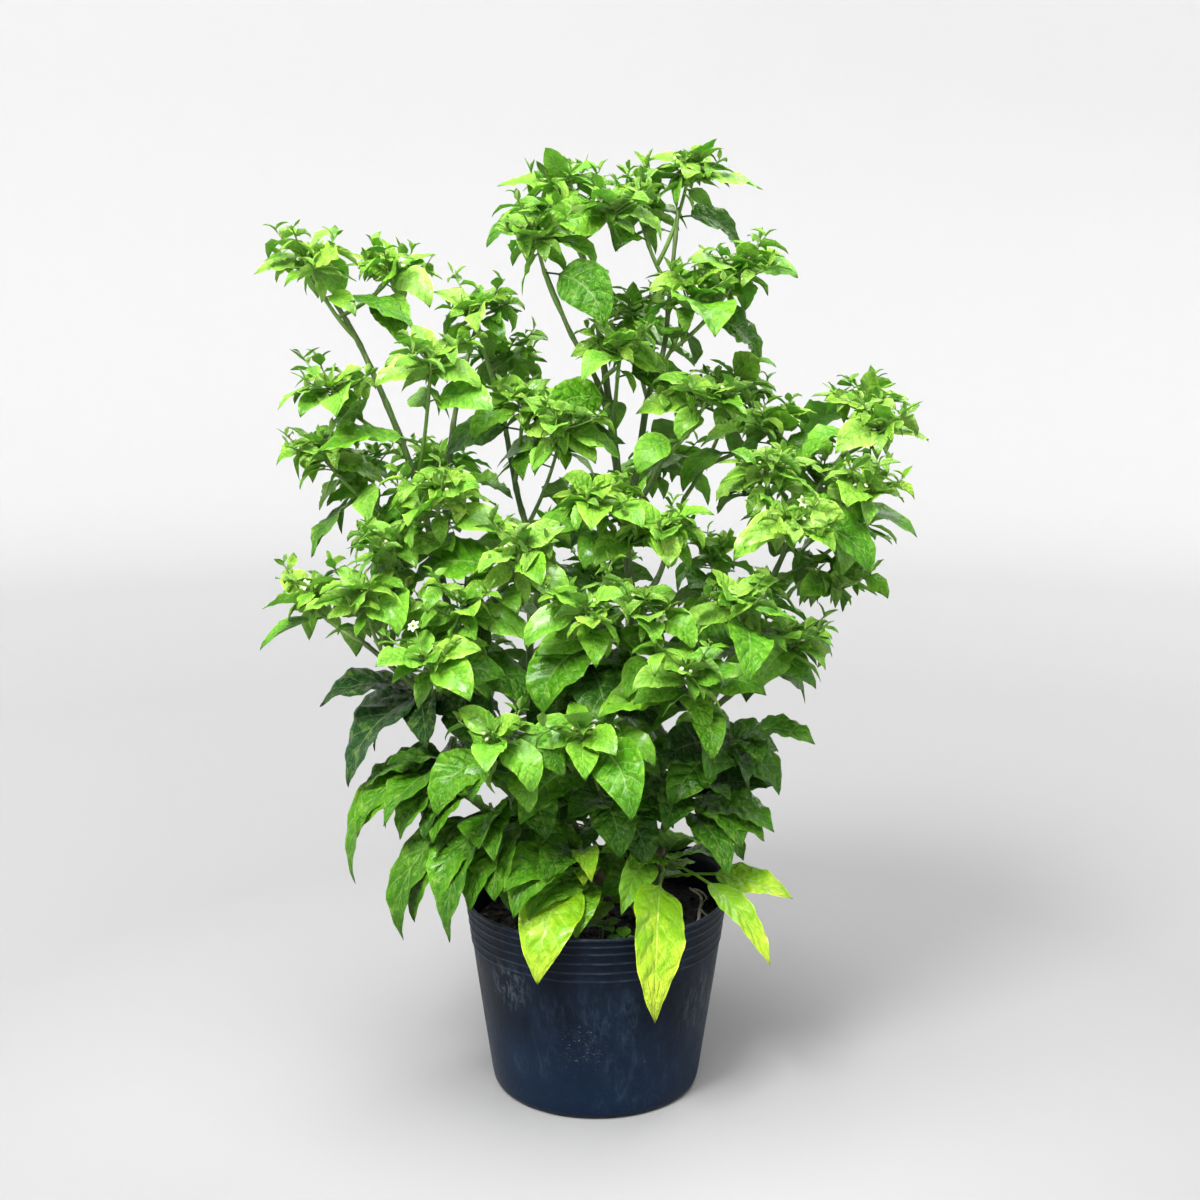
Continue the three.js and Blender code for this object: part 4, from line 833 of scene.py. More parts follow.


# Soft black plastic: bluish film, a painted bluish sheen towards the bottom, dusty vertical scuffs, small
# nicks, and paler worn hoops
def potMaterial():
    material, n, output = newMaterial("potPlastic")
    place = n.place()
    height = n.new("ShaderNodeSeparateXYZ", {0: place})
    film = n.range(n.noise(14.0, 5.0, 0.62), 0.3, 0.78)
    base = n.blend(film, rgba(0.0016, 0.0038, 0.0085), rgba(0.0055, 0.0125, 0.026))
    # Painted bluish sheen: the wall turns bluer towards the bottom
    low = n.range(height.outputs[2], 0.12, 0.015)
    base = n.blend(n.math("MULTIPLY", low, 0.6), base, rgba(0.006, 0.017, 0.042))
    scuff = n.noise(1.0, 6.0, 0.7, n.stretched((150, 150, 50)), 0.8)
    spread = n.range(n.noise(15.0, 3.0), 0.42, 0.66)
    dust = n.math("MULTIPLY", n.range(scuff, 0.44, 0.74), spread)
    base = n.blend(n.math("MULTIPLY", dust, 0.34), base, rgba(0.05, 0.085, 0.135))
    fine = n.range(n.noise(520.0, 4.0, 0.7), 0.56, 0.8)
    base = n.blend(n.math("MULTIPLY", fine, 0.16), base, rgba(0.12, 0.15, 0.19))
    for rubbed in potScuffs:
        away = n.vector("DISTANCE", place, rubbed["place"]).outputs["Value"]
        mark = n.math("MULTIPLY", n.range(away, rubbed["reach"], 0.2 * rubbed["reach"]), rubbed["share"])
        grit = n.noise(1.0, 5.0, 0.72, n.stretched(rubbed["grain"]), 0.6)
        mark = n.math("MULTIPLY", mark, n.range(grit, rubbed["from"], rubbed["from"] + 0.1))
        base = n.blend(mark, base, rgba(*rubbed["colour"]))
    nick = n.new("ShaderNodeTexVoronoi", {"Vector": n.stretched((1, 1, 0.42)), "Scale": 62.0})
    nicks = n.range(n.noise(9.0, 2.0), 0.56, 0.62)
    nicks = n.math("MULTIPLY", n.range(nick.outputs["Distance"], 0.07, 0.03), nicks)
    base = n.blend(n.math("MULTIPLY", nicks, 0.7), base, rgba(0.32, 0.36, 0.4))
    worn = n.range(n.value("potEdge"), 0.35, 1.0)
    worn = n.math("MULTIPLY", worn, n.range(n.noise(70.0, 4.0), 0.35, 0.7, 0.25, 1.0))
    base = n.blend(n.math("MULTIPLY", worn, 0.35), base, rgba(0.07, 0.09, 0.12))
    rough = n.math("ADD", n.range(film, 0.0, 1.0, 0.36, 0.5), n.math("MULTIPLY", dust, 0.28))
    relief = n.math("ADD", n.math("MULTIPLY", n.noise(260.0, 4.0), 0.5), n.math("MULTIPLY", scuff, 0.6))
    relief = n.math("MULTIPLY_ADD", nicks, -0.8, relief)
    shader = n.new("ShaderNodeBsdfPrincipled", {
        "Base Color": base, "Roughness": rough, "Specular IOR Level": 0.085,
        "Normal": n.bump(relief, 0.0005, 0.7)})
    n.feed(output.inputs[0], shader.outputs[0])
    return material


# Moist potting mix: near black, with browner clumps and grains and a few pale fibres
def soilMaterial():
    material, n, output = newMaterial("pottingMix")
    grain = n.noise(420.0, 6.0, 0.7)
    clump = n.noise(90.0, 4.0, 0.6)
    colour = n.blend(n.range(clump, 0.35, 0.7), rgba(0.002, 0.0018, 0.0018), rgba(0.009, 0.0068, 0.006))
    colour = n.blend(n.math("MULTIPLY", n.range(grain, 0.55, 0.8), 0.4), colour, rgba(0.04, 0.028, 0.022))
    fibre = n.new("ShaderNodeTexVoronoi", {"Vector": n.stretched((1, 0.3, 1)), "Scale": 420.0})
    colour = n.blend(n.math("MULTIPLY", n.range(fibre.outputs["Distance"], 0.14, 0.08), 0.22), colour,
                     rgba(0.14, 0.085, 0.05))
    relief = n.math("MULTIPLY_ADD", clump, 0.8, grain)
    shader = n.new("ShaderNodeBsdfPrincipled", {
        "Base Color": colour, "Roughness": n.range(grain, 0.3, 0.7, 0.3, 0.75),
        "Normal": n.bump(relief, 0.0022)})
    n.feed(output.inputs[0], shader.outputs[0])
    return material


# Bark chips and lumps, each with its own tone from near black to reddish brown
def chipMaterial():
    material, n, output = newMaterial("barkChip")
    tones = n.ramp(n.value("chipTone"), [
        (0.0, (0.0025, 0.002, 0.002)), (0.62, (0.008, 0.006, 0.0045)), (0.82, (0.05, 0.026, 0.016)),
        (0.92, (0.13, 0.055, 0.03)), (1.0, (0.25, 0.17, 0.1))])
    grain = n.noise(1.0, 4.0, 0.65, n.stretched((900, 300, 900)))
    colour = n.blend(n.range(grain, 0.4, 0.75, 0.0, 0.6), tones, n.times(tones, (2.2, 1.9, 1.7)))
    shader = n.new("ShaderNodeBsdfPrincipled", {
        "Base Color": colour, "Roughness": n.range(grain, 0.3, 0.7, 0.35, 0.75),
        "Normal": n.bump(grain, 0.0006)})
    n.feed(output.inputs[0], shader.outputs[0])
    return material


# Bleached wood: pale streaks and brown patches
def dryMaterial():
    material, n, output = newMaterial("dryTwigWood")
    streak = n.noise(1.0, 5.0, 0.65, n.stretched((700, 90, 700)))
    colour = n.blend(n.range(streak, 0.35, 0.7), rgba(0.55, 0.45, 0.36), rgba(0.90, 0.82, 0.74))
    colour = n.blend(n.range(n.noise(80.0, 3.0), 0.55, 0.8, 0.0, 0.6), colour, rgba(0.14, 0.09, 0.06))
    shader = n.new("ShaderNodeBsdfPrincipled", {
        "Base Color": colour, "Roughness": n.range(streak, 0.3, 0.7, 0.7, 0.9),
        "Normal": n.bump(streak, 0.0006)})
    n.feed(output.inputs[0], shader.outputs[0])
    return material


print("materials ready")

pot = {
    "height": 178, "rimRadius": 120, "footRadius": 94.5, "cornerRadius": 8, "wall": 1.6, "floor": 3,
    "hoopDepths": [8, 15, 24, 33, 41], "hoopProud": 0.9, "hoopHalf": 1.1, "lipRadius": 1.35,
    "drainHoles": 4, "drainRing": 62, "drainRadius": 6,
    "underRadii": [0.001, 30, 52, 60, 66, 76, 84], "floorRadii": [84, 72, 60, 48, 24, 0.001],
    "liftHeight": 20, "liftFrom": 100, "liftAngle": 25, "liftSpread": 34, "segments": 168,
}


# The mouth is pulled up on one side: more towards the rim, near one direction and far from the
# axis
def mouthLift(x, y, z):
    climb = smooth(pot["liftFrom"], pot["height"], z)
    turn = np.degrees(np.arctan2(y, x)) - pot["liftAngle"]
    near = np.exp(-((turn / pot["liftSpread"]) ** 2))
    out = np.minimum(1, np.hypot(x, y) / pot["rimRadius"]) ** 2
    return pot["liftHeight"] * climb * near * out


# Outside radius of the wall: a straight line from foot to rim
def wallRadius(z):
    return mix(pot["footRadius"], pot["rimRadius"], z / pot["height"])


# Soft-walled bulge of a height and direction: a few slow waves round the pot, growing upwards
def softness(angle, z):
    rise = np.clip(z / pot["height"], 0, 1)
    return rise**1.5 * (0.9 * np.sin(3 * angle + 0.6) + 0.5 * np.sin(5 * angle + 2.1)) \
        + 0.35 * np.sin(4 * angle + 1.0 + 2 * rise) * rise


# Pot's profile from the middle underneath, up the outside and down the inside to the floor: radii,
# heights, and how worn each point is. The outside leans out in a straight line from a rounded
# bottom edge, with a bead for each hoop and a rolled lip; the inside follows it a wall's
# thickness in.
def potProfile():
    corner, height, lip = pot["cornerRadius"], pot["height"], pot["lipRadius"]
    turn = np.radians(np.linspace(0, 80, 8))
    foot = wallRadius(corner) - corner + corner * np.sin(turn) - 0.4
    wall = np.concatenate([np.linspace(14, 130, 26), np.linspace(131, height - 3.6, 92)])
    hoops = sum(np.exp(-(((wall - (height - depth)) / pot["hoopHalf"]) ** 2)) for depth in pot["hoopDepths"])
    hoops = np.minimum(1, hoops)
    roll = np.radians(np.linspace(-70, 250, 14))
    inner = np.linspace(height - 4, pot["floor"] + 5, 30)
    stretches = [
        (pot["underRadii"], 0, 0),
        (foot, corner - corner * np.cos(turn), 0),
        (wallRadius(wall) + pot["hoopProud"] * hoops, wall, hoops),
        (wallRadius(height) - 0.1 + lip * np.cos(roll), height - lip + lip * np.sin(roll), 1),
        (wallRadius(inner) - pot["wall"], inner, 0),
        (pot["floorRadii"], pot["floor"], 0),
    ]
    return np.vstack([np.stack(np.broadcast_arrays(*stretch), -1) for stretch in stretches]).astype(float).T


# Pot wall: the profile carried round the axis, softened and lifted, with its drain holes drilled
def makePot():
    radii, heights, worn = potProfile()
    angle = 2 * np.pi * np.arange(pot["segments"]) / pot["segments"]
    z = np.repeat(heights[:, None], pot["segments"], axis=1)
    radius = radii[:, None] + softness(angle[None], z) * np.minimum(1, radii[:, None] / 60)
    x, y = radius * np.cos(angle), radius * np.sin(angle)
    z = z + mouthLift(x, y, z)
    rings = np.stack([x, y, z], -1)
    shell = Gathered()
    poles = np.array([[0, 0, 0], [0, 0, pot["floor"]]])
    points = np.vstack([rings.reshape(-1, 3), poles])
    edge = np.concatenate([np.repeat(worn, pot["segments"]), [0, 0]])
    shell.add(points, stackFaces(1, len(radii), pot["segments"]), [0, 0], potEdge=edge)
    piece = shell.finish("potWall", [potMaterial()], ["potEdge"])
    drill = Gathered()
    for i in range(pot["drainHoles"]):
        turn = 2 * math.pi * i / pot["drainHoles"]
        centre = np.array([pot["drainRing"] * math.cos(turn), pot["drainRing"] * math.sin(turn), 0])
        line = centre + np.array([[0, 0, -6], [0, 0, 1.5], [0, 0, 10]])
        drill.add(*tube(line, [pot["drainRadius"]] * 3, 24), [0, 0])
    tool = drill.finish("drainDrill", [])
    cut = piece.modifiers.new("drainHoles", "BOOLEAN")
    cut.operation, cut.object, cut.solver = "DIFFERENCE", tool, "EXACT"
    depsgraph = bpy.context.evaluated_depsgraph_get()
    drilled = bpy.data.meshes.new_from_object(piece.evaluated_get(depsgraph), depsgraph=depsgraph)
    piece.modifiers.clear()
    old = piece.data
    piece.data = drilled
    bpy.data.meshes.remove(old)
    drilled.name = "potWall"
    toolMesh = tool.data
    bpy.data.objects.remove(tool)
    bpy.data.meshes.remove(toolMesh)
    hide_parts("pot")


makePot()
print("pot ready")


soil = {
    "top": 147, "gap": 0.6, "foot": 3.4, "segments": 132, "rings": 52, "mound": 5, "moundReach": 26,
    "waves": [(60, 1.6, 8), (22, 1.1, 16), (9, 0.75, 30), (4.2, 0.5, 40)],
}
trunk = {"x": 40, "y": 5, "foot": 96, "fork": 162, "radius": 8}


# Uneven ground: plane waves in many directions, finer ones lower; each kind has a size, a height
# and a count
def groundWaves():
    rng = np.random.default_rng(seeds["ground"])
    waves = []
    for size, tall, count in soil["waves"]:
        for _ in range(count):
            turn = rng.uniform(0, 2 * np.pi)
            number = 2 * np.pi / (size * rng.uniform(0.75, 1.3))
            waves.append((
                number * np.cos(turn), number * np.sin(turn), rng.uniform(0, 6.28), tall / count**0.5))
    return waves


ground = groundWaves()


# Ground height: the waves on the level top, and a mound round the trunk
def soilHeight(x, y):
    rough = sum(tall * np.sin(a * x + b * y + phase) for a, b, phase, tall in ground)
    mound = soil["mound"] * np.exp(
        -(((x - trunk["x"]) ** 2 + (y - trunk["y"]) ** 2) / soil["moundReach"] ** 2))
    return soil["top"] + rough + mound


# Soil as a profile carried round the axis: a wall a gap inside the pot's, then rings of ground
# from the wall to the middle
def makeSoil():
    segments = soil["segments"]
    angle = 2 * np.pi * np.arange(segments) / segments
    heights = np.array([soil["foot"], soil["foot"] + 4, 60, 100, 125, 138])
    wall = wallRadius(heights) - pot["wall"] - soil["gap"]
    wall[0] -= pot["cornerRadius"] / 2 + soil["gap"]
    rims = wallRadius(soil["top"]) - pot["wall"] - soil["gap"] - 1.2
    shares = np.linspace(1, 0.012, soil["rings"]) ** 0.85
    radius = np.concatenate([wall, rims * shares])[:, None]
    x, y = radius * np.cos(angle), radius * np.sin(angle)
    z = np.repeat(np.concatenate([heights, np.full(len(shares), soil["top"])])[:, None], segments, axis=1)
    top = np.arange(len(radius)) >= len(heights)
    edge = smooth(1.0, 0.93, np.concatenate([np.ones(len(heights)), shares]))[:, None]
    z = np.where(top[:, None], soil["top"] + (soilHeight(x, y) - soil["top"]) * (0.35 + 0.65 * edge), z)
    z = z + mouthLift(x, y, z)
    middle = soilHeight(np.zeros(1), np.zeros(1))[0]
    points = np.vstack([np.stack([x, y, z], -1).reshape(-1, 3), [[0, 0, soil["foot"]], [0, 0, middle]]])
    body = Gathered()
    body.add(points, stackFaces(1, len(radius), segments), [0, 0])
    piece = body.finish("pottingSoil", [soilMaterial()])
    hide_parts("soil")


chip = {
    "count": 620, "sides": 7, "reach": 110, "least": 0.9, "more": 2.6, "sunk": 0.25, "lean": 0.35,
    "levels": [-0.7, 0.0, 0.7], "widths": [0.62, 1.0, 0.62],
}


# Bark chips, crumbs and lumps strewn on the soil: small closed stacks of three uneven rings, each
# stretched, turned and part sunk in the ground
def makeChips():
    rng = np.random.default_rng(seeds["chips"])
    chips = Gathered()
    count, sides = chip["count"], chip["sides"]
    turn = rng.uniform(0, 2 * np.pi, count)
    reach = chip["reach"] * np.sqrt(rng.uniform(0, 1, count))
    x, y = reach * np.cos(turn), reach * np.sin(turn)
    size = chip["least"] + chip["more"] * rng.random(count) ** 2.2
    surface = soilHeight(x, y)
    z = surface + mouthLift(x, y, surface) + chip["sunk"] * size
    stretch = np.stack([size * rng.uniform(1, 2.6, count), size * rng.uniform(0.7, 1.2, count),
                        size * rng.uniform(0.35, 0.9, count)], -1)
    angle = 2 * np.pi * np.arange(sides) / sides
    level, out = np.array(chip["levels"]), np.array(chip["widths"])
    jitter = rng.uniform(0.72, 1.2, (count, len(level), sides))
    ringX = out[None, :, None] * jitter * np.cos(angle)
    ringY = out[None, :, None] * jitter * np.sin(angle)
    ringZ = np.broadcast_to(level[None, :, None], ringX.shape) + rng.uniform(-0.15, 0.15, ringX.shape)
    local = np.stack([ringX, ringY, ringZ], -1).reshape(count, -1, 3)
    poles = np.broadcast_to(np.array([[0, 0, -1.0], [0, 0, 1.0]]), (count, 2, 3))
    local = np.concatenate([local, poles], axis=1) * stretch[:, None]
    spin, lean = rng.uniform(0, 2 * np.pi, count), rng.normal(0, chip["lean"], count)
    leanX = local[..., 0] * np.cos(lean)[:, None] + local[..., 2] * np.sin(lean)[:, None]
    leanZ = -local[..., 0] * np.sin(lean)[:, None] + local[..., 2] * np.cos(lean)[:, None]
    worldX = leanX * np.cos(spin)[:, None] - local[..., 1] * np.sin(spin)[:, None]
    worldY = leanX * np.sin(spin)[:, None] + local[..., 1] * np.cos(spin)[:, None]
    points = np.stack([worldX + x[:, None], worldY + y[:, None], leanZ + z[:, None]], -1)
    tone = np.repeat(rng.random(count) ** 1.3, points.shape[1])
    chips.add(points, stackFaces(count, len(level), sides), [0, 0], chipTone=tone)
    piece = chips.finish("barkChips", [chipMaterial()], ["chipTone"])
    piece.data.shade_flat()


dryTwig = {
    "lift": 1.2, "rings": 34, "sides": 10, "taper": 0.36, "rough": 0.16,
    "sticks": [
        {"radius": 1.7, "path": [[90, -34], [96, 4], [99, 34], [90, 58]]},
        {"radius": 1.3, "path": [[98, 18], [104, 28], [101, 42], [94, 54]]},
        {"radius": 1.1, "path": [[97, 10], [103, -8], [100, -30]]},
    ],
}


# Dry sticks as rough tubes that lie on the ground
def makeDryTwig():
    wood = Gathered()
    rng = np.random.default_rng(seeds["dryTwig"])
    for stick in dryTwig["sticks"]:
        flat = np.array(stick["path"], float)
        level = soil["top"] + 1.1
        lift = mouthLift(flat[:, 0], flat[:, 1], np.full(len(flat), level))
        path = np.column_stack([flat, level + dryTwig["lift"] + lift])
        shares = np.linspace(0, 1, dryTwig["rings"])
        points = throughPoints(path, shares)
        points = points + rng.normal(0, dryTwig["rough"], points.shape)
        radii = stick["radius"] * (1 - dryTwig["taper"] * shares) * (1 + 0.1 * np.sin(23 * shares))
        wood.add(*tube(points, radii, dryTwig["sides"], 0.12, 3, 0.2), [0, 0])
    piece = wood.finish("dryTwigWood", [dryMaterial()])
    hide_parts("dry_twig")


makeSoil()
makeChips()
makeDryTwig()
print("soil ready")


stems = {
    "left": [[5.6, 2.0], [[40, 5, 158], [5, 0, 188], [-30, -5, 238], [-80, -10, 320], [-120, -10, 405],
                          [-140, -5, 485], [-165, 0, 575], [-200, -5, 665], [-225, -10, 712]]],
    "leftFork": [[3.2, 1.6], [[-138, -6, 478], [-131, 15, 530], [-128, 20, 591], [-116, 25, 651],
                              [-102, 30, 700]]],
    "leftLow": [[3.6, 1.8], [[-80, -10, 320], [-135, -40, 358], [-165, -50, 388], [-190, -54, 412],
                             [-212, -52, 430]]],
    "centreLeft": [[5.0, 1.8], [[40, 5, 158], [15, 14, 185], [-20, 20, 232], [-52, 26, 315], [-60, 26, 400],
                                [-52, 25, 470], [-70, 25, 540], [-85, 30, 625], [-96, 34, 672]]],
    "centre": [[6.4, 2.0], [[40, 5, 158], [44, 6, 225], [36, 5, 290], [30, 5, 350], [34, 5, 415],
                            [28, 0, 490], [16, 0, 590], [8, -6, 650], [-2, -10, 715], [-18, -10, 775]]],
    "centreFork": [[2.8, 1.6], [[12, -3, 610], [0, -20, 645], [-22, -34, 685], [-42, -46, 735]]],
    "centreRight": [[3.6, 1.7], [[24, 0, 520], [36, 12, 560], [46, 16, 625], [60, 20, 668], [65, 20, 715],
                                 [72, 20, 790]]],
    "right": [[5.4, 2.2], [[40, 5, 158], [54, 0, 190], [61, -10, 232], [72, -16, 280], [86, -30, 328],
                           [108, -40, 362], [140, -52, 390]]],
    "rightInner": [[3.2, 1.7], [[32, 4, 440], [55, 24, 462], [68, 34, 498], [80, 38, 535]]],
    "rightHigh": [[4.0, 1.9], [[82, -25, 315], [108, 0, 365], [132, 12, 415], [158, 20, 462],
                               [180, 16, 512], [205, 10, 560]]],
    "frontHigh": [[2.8, 1.6], [[25, 0, 510], [50, -28, 560], [66, -45, 595]]],
}


bark = {
    "slim": 0.98, "trunkSlim": 0.97, "trunkSides": 22, "ringStep": 4.5, "scarStep": 26, "scarSwell": 0.45,
    "scarReach": 3.4, "thickFrom": 4.5, "thickSides": 16, "thinSides": 11,
}


# Trunk and forks as ribbed tubes: the trunk stands straight and narrows above its fork, and the
# forks follow the CAD's points, with rings of old leaf scars
def makeStem():
    wood = Gathered()
    stand = np.linspace(trunk["foot"], trunk["fork"] + 10, 22)
    centre = np.column_stack([trunk["x"] + 0.5 * np.sin(stand / 9), np.full(len(stand), trunk["y"]), stand])
    radii = trunk["radius"] * (1 - 0.5 * smooth(trunk["fork"] - 2, trunk["fork"] + 10, stand))
    wood.add(*tube(centre, radii * bark["trunkSlim"], bark["trunkSides"], 0.05, 7, 0.05), [0, 0])
    for seed, (ends, path) in enumerate(stems.values()):
        rng = np.random.default_rng(seeds["stems"] + seed)
        length = np.linalg.norm(np.diff(np.array(path, float), axis=0), axis=1).sum()
        shares = np.linspace(0, 1, int(length / bark["ringStep"]))
        radii = mix(ends[0], ends[1], shares) * bark["slim"]
        for place in np.arange(0.1, 1, bark["scarStep"] / length):
            away = (shares - place - rng.uniform(-0.01, 0.01)) * length
            radii = radii + bark["scarSwell"] * np.exp(-((away / bark["scarReach"]) ** 2))
        sides = bark["thickSides"] if ends[0] > bark["thickFrom"] else bark["thinSides"]
        wood.add(*tube(throughPoints(path, shares), radii, sides, 0.06, 5, 0.03), [0, 0])
    piece = wood.finish("woodyStemBark", [woodyBark])
    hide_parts("woody_stem")


makeStem()
print("stem ready")


tiers = [
    {"leaves": 5, "from": 0.74, "to": 0.92, "length": (25, 44), "lift": (-32, 34), "droop": (40, 110)},
    {"leaves": 5, "from": 0.88, "to": 0.98, "length": (18, 34), "lift": (-4, 56), "droop": (20, 110)},
    {"leaves": 5, "from": 0.96, "to": 1.0, "length": (8, 22), "lift": (24, 84), "droop": (0, 70)},
]
tierLeaf = {
    "width": (0.36, 0.5), "turn": 70, "liftSpread": (-12, 12), "swerve": (-55, 55), "roll": 38,
    "petiole": 0.12, "outward": 0.5, "age": (0.9, -0.3), "fold": (8, 20, 8), "curl": (-0.1, 0.3),
}
leafMaterials = [leafTop, leafUnder, greenTwig, petal]


# Leafy piece in place of its CAD node, named after it
def finishLeafy(gathered, name):
    words = name.split("_")
    title = words[0] + "".join(word.title() for word in words[1:])
    piece = gathered.finish(title, leafMaterials, leafKinds)
    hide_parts(name)


# Corners of a CAD node in millimetres
def nodeCorners(name):
    mesh = cadNodes[name].data
    corners = np.zeros(len(mesh.vertices) * 3, np.float32)
    mesh.vertices.foreach_get("co", corners)
    return corners.reshape(-1, 3).astype(float) * 1000


# Twig as a ribbed tube, swollen where leaves spring
def addTwig(gathered, curve, radii, shares, rings):
    along = np.linspace(0, 1, rings)
    length = lengthOf(curve, 40)
    width = mix(radii[0], radii[1], along)
    for share in shares:
        width = width + 0.4 * np.exp(-(((along - share) * length / 2.6) ** 2))
    gathered.add(*tube(curve(along), width, 9, 0.07, 4, 0.04), [2, 2])


# Whether points lie inside the CAD's box, less a margin
def insidePoints(points, margin):
    low, high = np.array(cadLow) * 1000 + margin, np.array(cadHigh) * 1000 - margin
    return np.all(points > low) and np.all(points < high)


# The same for a leaf's middle line
def insideBox(leaf, margin=5):
    return insidePoints(spines(asArrays([leaf]))[0], margin)


# A leaf made smaller and lowered until it is inside that box
def fitted(leaf):
    for _ in range(8):
        if insideBox(leaf):
            return leaf
        leaf = dict(
            leaf, length=leaf["length"] * 0.82, width=leaf["width"] * 0.85, lift=leaf["lift"] - 0.15)
    return leaf


branchlet = {
    "high": 7, "low": 2, "between": (330, 560), "from": 0.8, "length": (22, 44), "rise": (-2, 52),
    "radius": (0.95, 0.65), "climb": 0.12, "sag": 0.05, "leaves": 6, "leafFrom": 0.6, "leaf": (31, 13),
    "size": (0.75, 1.2), "width": (0.36, 0.54), "lift": (-12, 68), "droop": (10, 110), "swerve": (-60, 60),
    "roll": 30, "petiole": 0.08, "age": (0.8, -0.5), "fold": (4, 34), "ruffle": (1.0, 2.2),
    "curl": (-0.2, 0.4),
}


# Short green branchlets in an umbrella round the end of a twig, each with its own small rosette;
# more of them high on the bush
def addBranchlets(gathered, curve, tip, age, rng):
    count = round(mix(branchlet["low"], branchlet["high"], smooth(*branchlet["between"], tip[2])))
    leaves = []
    turn = rng.uniform(0, 360)
    for i in range(count):
        root = curve([mix(branchlet["from"], 0.99, (i + 0.5) / count)])[0]
        bearing = math.radians(turn + goldenAngle * i + rng.uniform(-20, 20))
        rise = math.radians(mix(*branchlet["rise"], rng.random()))
        way = np.array([
            math.cos(bearing) * math.cos(rise), math.sin(bearing) * math.cos(rise), math.sin(rise)])
        length = rng.uniform(*branchlet["length"])
        for _ in range(6):
            end = root + way * length + (0, 0, branchlet["climb"] * length)
            if insidePoints(end[None], 14):
                break
            length *= 0.75
        middle = root + way * length * 0.55 - (0, 0, branchlet["sag"] * length)
        shares = np.linspace(0, 1, 6)
        gathered.add(*tube(bowed(root, middle, end, shares), mix(*branchlet["radius"], shares), 6), [2, 2])
        spin = rng.uniform(0, 360)
        for k in range(branchlet["leaves"]):
            up = k / (branchlet["leaves"] - 1)
            foot = bowed(root, middle, end, [mix(branchlet["leafFrom"], 1, up)])[0]
            leaf = newLeaf(
                foot, mix(*branchlet["leaf"], up) * rng.uniform(*branchlet["size"]),
                rng.uniform(*branchlet["width"]), spin + goldenAngle * k,
                mix(*branchlet["lift"], up) + rng.uniform(-22, 22), rng.uniform(*branchlet["droop"]),
                rng.uniform(*branchlet["swerve"]), rng.normal(0, branchlet["roll"]),
                branchlet["petiole"], rng)
            ageShare = branchlet["age"][0] + branchlet["age"][1] * up
            leaf = dressed(fitted(leaf), age * ageShare, 0.0, rng)
            leaf["fold"] = math.radians(rng.uniform(*branchlet["fold"]))
            leaf["ruffle"] = rng.uniform(*branchlet["ruffle"])
            leaf["curl"] = rng.uniform(*branchlet["curl"])
            leaves.append(leaf)
    return leaves


# Small leaves round the end of a twig, tier above tier: level and hanging ones below, upright and
# folded ones in the heart
def tierLeaves(curve, age, rng):
    leaves = []
    turn = rng.uniform(0, 360)
    for level, tier in enumerate(tiers):
        for i in range(tier["leaves"]):
            up = (i + rng.uniform(0, 0.8)) / tier["leaves"]
            leaf = newLeaf(
                curve([mix(tier["from"], tier["to"], up)])[0], rng.uniform(*tier["length"]),
                rng.uniform(*tierLeaf["width"]),
                turn + goldenAngle * i + tierLeaf["turn"] * level + rng.uniform(-18, 18),
                mix(*tier["lift"], up) + rng.uniform(*tierLeaf["liftSpread"]),
                rng.uniform(*tier["droop"]), rng.uniform(*tierLeaf["swerve"]),
                rng.normal(0, tierLeaf["roll"]), tierLeaf["petiole"], rng)
            leaf["roll"] += tierLeaf["outward"] * outwardRoll(leaf["root"], leaf["bearing"])
            ageShare = tierLeaf["age"][0] + tierLeaf["age"][1] * level
            leaf = dressed(fitted(leaf), age * ageShare, 0.0, rng)
            least, most, more = tierLeaf["fold"]
            leaf["fold"] = math.radians(rng.uniform(least, most + more * level))
            leaf["curl"] = rng.uniform(*tierLeaf["curl"])
            leaves.append(leaf)
    return leaves


fillLeaf = {
    "spacing": (19, 80), "thinning": (560, 690), "between": (0.3, 0.9), "length": (40, 70),
    "width": (0.4, 0.5), "lift": (-10, 34), "droop": (45, 110), "swerve": (-30, 30), "petiole": 0.2,
    "older": 0.34,
}


# More leaves along a twig, between the CAD's, fewer high on the bush
def fillLeaves(curve, tip, age, rng):
    spacing = mix(*fillLeaf["spacing"], smooth(*fillLeaf["thinning"], tip[2]))
    count = int(lengthOf(curve, 40) / spacing)
    leaves = []
    turn = rng.uniform(0, 360)
    for i in range(count):
        share = mix(*fillLeaf["between"], (i + rng.uniform(0, 0.6)) / max(count, 1))
        leaf = newLeaf(
            curve([share])[0], rng.uniform(*fillLeaf["length"]), rng.uniform(*fillLeaf["width"]),
            turn + goldenAngle * i, rng.uniform(*fillLeaf["lift"]), rng.uniform(*fillLeaf["droop"]),
            rng.uniform(*fillLeaf["swerve"]), 0, fillLeaf["petiole"], rng)
        leaf["roll"] = outwardRoll(leaf["root"], leaf["bearing"])
        leaves.append(dressed(fitted(leaf), age + fillLeaf["older"] * (1 - share), 0.0, rng))
    return leaves


# Rings of a bud: shares of the way along it and radii, of which the last six grow with its size
bud = {
    "count": 4, "between": (0.88, 0.99), "pedicel": (9, 17), "radius": 1.5, "size": (0.7, 1.15),
    "rise": (0.2, 0.6), "sides": 8, "rings": [0, 0.3, 0.6, 0.72, 0.78, 0.83, 0.88, 0.93, 0.975],
    "radii": [0.4, 0.36, 0.4, 0.7, 1.0, 1.1, 1.0, 0.75, 0.4],
}


